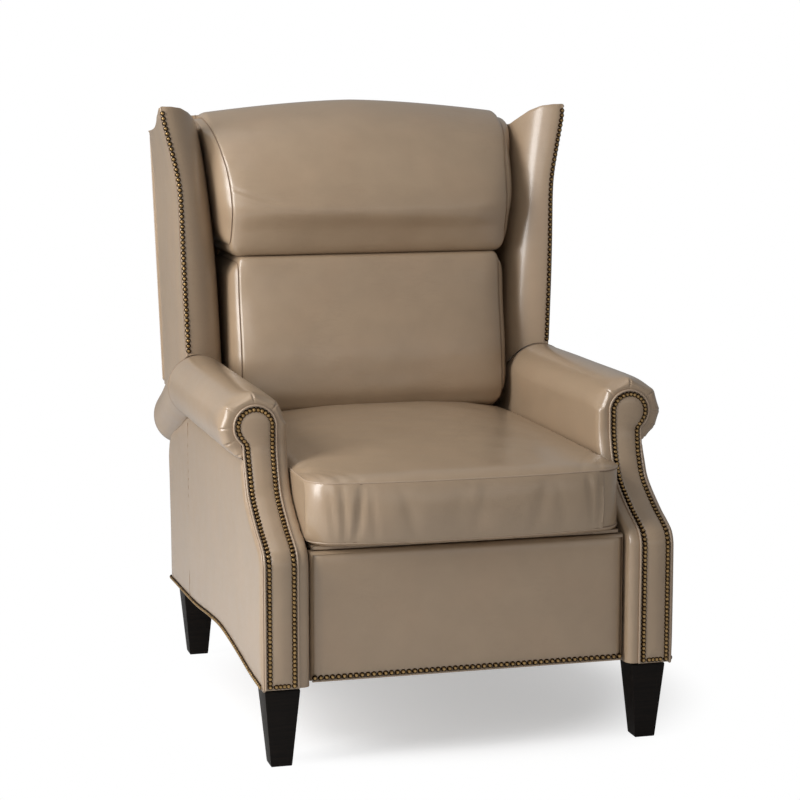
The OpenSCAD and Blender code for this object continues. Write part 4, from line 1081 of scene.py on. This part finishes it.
def seat_outline(count=500):
    a = np.concatenate([np.full(120, -1.0), np.linspace(-1, 1, 400), np.full(120, 1.0)])
    b = np.concatenate([np.linspace(0.9, -1, 120), np.full(400, -1.0), np.linspace(-1, 0.9, 120)])
    line = coords(*seat_plan(a, b))
    keep = np.concatenate([[True], np.linalg.norm(np.diff(line, axis=0), axis=1) > 0.01])
    return even_line(line[keep], count).T


make_seat_cushion()
x, y = seat_outline()
# Each seam is a welt with a thin dark bead beside it: the bead is painted shade along the welt.
for name, z, down in (("seat_top", SEAT_TOP_SEAM, 2.3), ("seat_low", SEAT_LOW_SEAM, -2.0)):
    bead(name + "_welt", "seat", coords(x, y, z), 1.5)
    bead(name + "_joint", "seat", coords(x, y, z - down), 1.15, seam_leather)


def make_apron():
    """Leather over the front edge of the seat's frame, between the cushion and the footrest panel."""
    (piece, a, b, c), half = box_piece("seat_apron", 23), 281
    edge = np.minimum((1 - np.abs(a)) * half, (1 - np.abs(c)) * 6)
    rounding = 3 * (1 - np.sqrt(unit(1 - unit(1 - edge / 3) ** 2)))
    y = -390.5 + 25.5 * b + np.where(b < -0.999, rounding, 0)
    shape_box(piece, a * half, y, 385.2 + 3.4 * c)
    finish_piece(piece, "seat", angle=60)


make_apron()


# Footrest panel

def make_footrest():
    piece, a, b, c = box_piece("footrest_pad", 47)
    half, front, rear, low, high, r = 288.0, -427.0, -401.0, 151.5, 380.5, 10.0
    x, z = a * half, low + (high - low) * (c + 1) / 2
    y = front + (rear - front) * (b + 1) / 2
    edge = np.minimum(np.minimum(half - np.abs(x), z - low), high - z)
    round_in = r - np.sqrt(np.maximum(r ** 2 - np.maximum(r - edge, 0) ** 2, 0))
    slack = unevenness(coords(x, 0, z), 100, 61)
    puff = 3.6 * (1 - np.exp(-np.maximum(edge - 9, 0) / 14)) + 1.2 * slack * ramp(edge, 10, 60)
    y = np.where(b < -0.999, front + round_in - puff, y)
    side_round = np.where(b > -0.999, r * unit(1 - (y - front) / r) ** 2 * 0.5, 0)
    x = x - np.sign(a) * np.where(np.abs(a) > 0.999, side_round, 0)
    z = z - np.sign(c) * np.where(np.abs(c) > 0.999, side_round, 0)
    shape_box(piece, x, y, z)
    finish_piece(piece, "footrest", ["footrest_pad"], angle=60)
    spots = coords(np.linspace(-half + 7, half - 7, 54), front + 0.4, low + 7.0)
    nail_row("footrest_nails", spots, (0, -1, 0), "footrest")
    bead("footrest_fold", "footrest", coords(np.linspace(-half + 3, half - 3, 200), front + 1.8, low + 0.6), 1.9)


make_footrest()


# Outside back and rear panels

def distance_to(points, line):
    """Distance of 2-D points from a closed line."""
    best = np.full(len(points), 1e9)
    for p, q in zip(line, np.roll(line, -1, axis=0)):
        along = q - p
        t = unit(((points - p) @ along) / max(along @ along, 1e-9))
        best = np.minimum(best, np.linalg.norm(points - p - t[:, None] * along, axis=1))
    return best


def make_outside_back():
    piece = sheet_of("outside_back", 96, 90)
    split_u, split_v, low_half, step_half, top_half, step_h = 0.125, 0.35, 286.0, 381, 395, 272.0

    def top_at(x):
        return 779 + 30 * (1 - np.abs(x) ** 2.5)

    top = np.linspace(1, -1, 60)
    line = np.array([(-low_half, 0), (low_half, 0), (low_half, step_h), (step_half, step_h),
                     *coords(top * top_half, top_at(top)), (-step_half, step_h), (-low_half, step_h)])

    def place(u, v):
        a, flank = (u - 0.5) * 2, 1 - 2 * split_u
        wide = step_half + 14 * unit((v - split_v) / (1 - split_v))
        x = np.where(np.abs(a) <= flank, a / flank * low_half,
                     np.sign(a) * (low_half + (wide - low_half) * (np.abs(a) - flank) / (2 * split_u)))
        top_h = top_at(unit(np.abs(x) / top_half))
        height = np.where(v > split_v, step_h + (top_h - step_h) * (v - split_v) / (1 - split_v),
                          v / split_v * step_h)
        edge = distance_to(coords(x, height), line)
        slack = unevenness(coords(x, height, 0), 130, 71)
        puff = puffed(edge, 3.5, 16, 2.5, 3.0) + 1.4 * slack * ramp(edge, 10, 80)
        y = BACK_REAR + height * math.sin(BACK_LEAN) + puff * math.cos(BACK_LEAN) - 0.5
        return coords(x, y, BACK_FOOT + height * math.cos(BACK_LEAN) - puff * math.sin(BACK_LEAN))
    flat = points_of(piece)
    lay(piece, place)
    work = bmesh.new()
    work.from_mesh(piece.data)
    drop = [corner for corner, (u, v, _) in zip(work.verts, flat)
            if abs(u - 0.5) * 2 > 1 - 2 * split_u + 0.005 and v < split_v - 0.002]
    bmesh.ops.delete(work, geom=drop, context="VERTS")
    work.to_mesh(piece.data)
    work.free()
    thicken(piece, (0, 1, 0), 8)
    finish_piece(piece, "back", ["outside_back"], angle=50)
    x, height = np.concatenate([line, line[:1]]).T
    space = coords(x, BACK_REAR + height * math.sin(BACK_LEAN) - 1.5, BACK_FOOT + height * math.cos(BACK_LEAN))
    bead("outside_back_welt", "back", even_line(space, 700)[:-1], 2.2, ring=10, closed=True)
    for side, word in SIDES:
        flank, a, b, c = box_piece("back_flank_" + word, 11)
        z = 416.0 + 129.0 * c
        shape_box(flank, side * (282.6 + 3.0 * a), rear_at(z) - 32.0 + 28.0 * b, z)
        if side < 0:
            in_edit(flank, FACE_OUT)
        finish_piece(flank, "back", angle=50)


def rear_panel(name, node, columns, rows, *borders):
    """A padded panel on the rear face, between its bottom, top, left and right lines of (x, z)."""
    piece = sheet_of(name, columns, rows)
    shape = patch(*borders)
    bottom, top, left, right = (np.asarray(line, float) for line in borders)
    border = np.concatenate([bottom, right, top[::-1], left[::-1]])

    def place(u, v):
        x, z = shape(u, v).T
        edge = distance_to(coords(x, z), border)
        slack = unevenness(coords(x, z, 0), 90, 81)
        return coords(x, 472.5 + (puffed(edge, 2.6, 12, 2.0, 2.5) + 0.8 * slack * ramp(edge, 8, 40)), z)
    lay(piece, place)
    thicken(piece, (0, 1, 0), 9)
    finish_piece(piece, "base", [node], angle=50)


make_outside_back()
for side, word in SIDES:
    top = [(292, 480), (330, 470), (352, 452), (368, 428), (375, 400)]
    rear_panel("rear_arm_panel_" + word, "rear_arm_panels", 24, 60,
               *([(side * x, z) for x, z in line] for line in
                 ([(292, 141), (375, 141)], top, [(292, 141), top[0]], [(375, 141), top[-1]])))
rear_panel("lower_back_panel", "lower_back_panel", 90, 26, [(-291, 141), (291, 141)], [(-291, 255), (291, 255)],
           [(-291, 141), (-291, 255)], [(291, 141), (291, 255)])


# Tapered legs

LEG_X, LEG_Y, LEG_HIGH, LEG_FOOT, LEG_HEAD = 337.9, 395.0, 140.0, 37.6, 63.5


def make_leg(name, x, y):
    deselect()
    edit.primitive_cube_add(size=1, location=(0, 0, 0.5))
    bpy.ops.object.transform_apply(location=True)
    leg = bpy.context.object
    leg.name = leg.data.name = name
    in_edit(leg, (edit.bevel, dict(offset=0.035, segments=3, profile=0.6, affect="EDGES")))
    across, deep, up = points_of(leg).T
    width = LEG_FOOT + (LEG_HEAD - LEG_FOOT) * unit(up)
    shape_box(leg, x + across * width, y + deep * width, up * LEG_HIGH)
    finish_piece(leg, "base", [name], angle=30, material=espresso)


for side, word in SIDES:
    make_leg("leg_front_" + word, side * LEG_X, -LEG_Y)
    make_leg("leg_rear_" + word, side * LEG_X, LEG_Y)


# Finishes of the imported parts, whose names are given without their side

FINISHES = {
    enamel: """glide_track side_plate cross_tube hinge_pins back_brackets front_links link_tube rear_links
               carrier_links control_links footrest_brackets leg_plates""",
    wire: "leg_bolts shoe_bolts seat_springs back_springs",
    nylon: "glide_shoes",
    deck_cloth: "seat_deck",
    hardwood: "side_rail arm_rail seat_side_rails",
    crosswood: "corner_blocks cross_rail rear_rail seat_front_rail seat_rear_rail back_rails footrest_board",
    upright_wood: "front_post rear_post back_posts",
    espresso: "leg_front leg_rear",
}
finish_of = {node: material for material, nodes in FINISHES.items() for node in nodes.split()}
for part in bpy.data.objects:
    if "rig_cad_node" in part:
        node = part["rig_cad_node"].replace("_left", "").replace("_right", "")
        part.data.materials.clear()
        part.data.materials.append(finish_of.get(node, leather))


# Floor, light and camera

FLOOR_GLOW = 0.41


def make_floor():
    """White floor. To the camera it carries some light of its own, so that only the chair's shadow shows on it."""
    deselect()
    edit.primitive_plane_add(size=60, location=(0, 0, -0.0005))
    bpy.ops.object.transform_apply(location=True)
    floor = bpy.context.object
    floor.name = "studio_floor"
    material, w, surface = blank("studio_white", Roughness=0.9, Specular_IOR_Level=0.0, Emission_Color=(1, 1, 1, 1))
    place = w.vector("SUBTRACT", w.place(), (0.05, -0.05, 0.0))
    far = w.span(w.add("VectorMath", {"operation": "LENGTH"}, n0=place).outputs["Value"], 0.30, 0.56)
    seen = w.add("LightPath").outputs["Is Camera Ray"]
    near_tone = w.mix(seen, (0.72, 0.72, 0.72, 1), (0.8, 0.8, 0.8, 1))
    w.feed(surface, "Base Color", w.mix(w.times(far, seen), near_tone, (0, 0, 0, 1)))
    w.feed(surface, "Emission Strength", w.times(w.plus(FLOOR_GLOW, w.times(far, 1 - FLOOR_GLOW)), seen))
    floor.data.materials.append(material)


def make_world():
    """White to the camera, and a faint light all round."""
    world = bpy.data.worlds.new("studio")
    bpy.context.scene.world = world
    world.use_nodes = True
    w = Wiring(world.node_tree)
    sky, path = w.nodes["Background"], w.add("LightPath").outputs
    w.feed(sky, "Color", (1, 1, 1, 1))
    seen = w.math("MAXIMUM", path["Is Camera Ray"], path["Is Transmission Ray"])
    seen = w.math("MAXIMUM", seen, w.times(path["Is Glossy Ray"], 0.35))
    w.feed(sky, "Strength", w.math("MAXIMUM", seen, 0.29))


def softbox(name, place, target, size, power, size_y=None):
    deselect()
    bpy.ops.object.light_add(type="AREA", location=place)
    lamp = bpy.context.object
    lamp.name = lamp.data.name = name
    lamp.data.shape = "RECTANGLE"
    lamp.data.size, lamp.data.size_y = size, size_y or size
    lamp.data.energy = power
    lamp.rotation_euler = (Vector(target) - Vector(place)).to_track_quat("-Z", "Y").to_euler()


make_floor()
make_world()
softbox("key_left", (-2.8, -0.9, 1.9), (0, -0.1, 0.7), 1.3, 108, 2.5)
softbox("front_left", (-2.2, -3.4, 2.4), (0, 0, 0.7), 1.8, 17)
softbox("front_strip", (0.7, -4.6, 1.15), (0, 0, 0.7), 4.0, 6, 0.7)
softbox("overhead", (-0.9, 0.1, 3.2), (0, 0, 0.5), 2.0, 9)

camera = bpy.data.cameras.new("camera")
camera_object = bpy.data.objects.new("camera", camera)
bpy.context.scene.collection.objects.link(camera_object)
camera_object.location = (-1.176, -4.2892, 1.240)
camera_object.rotation_euler = Euler((math.radians(90 - 8.61), 0, math.radians(-15.35)), "XYZ")
camera.sensor_width, camera.lens = 36, 104.7
bpy.context.scene.camera = camera_object
bpy.context.scene.view_settings.view_transform = "Standard"
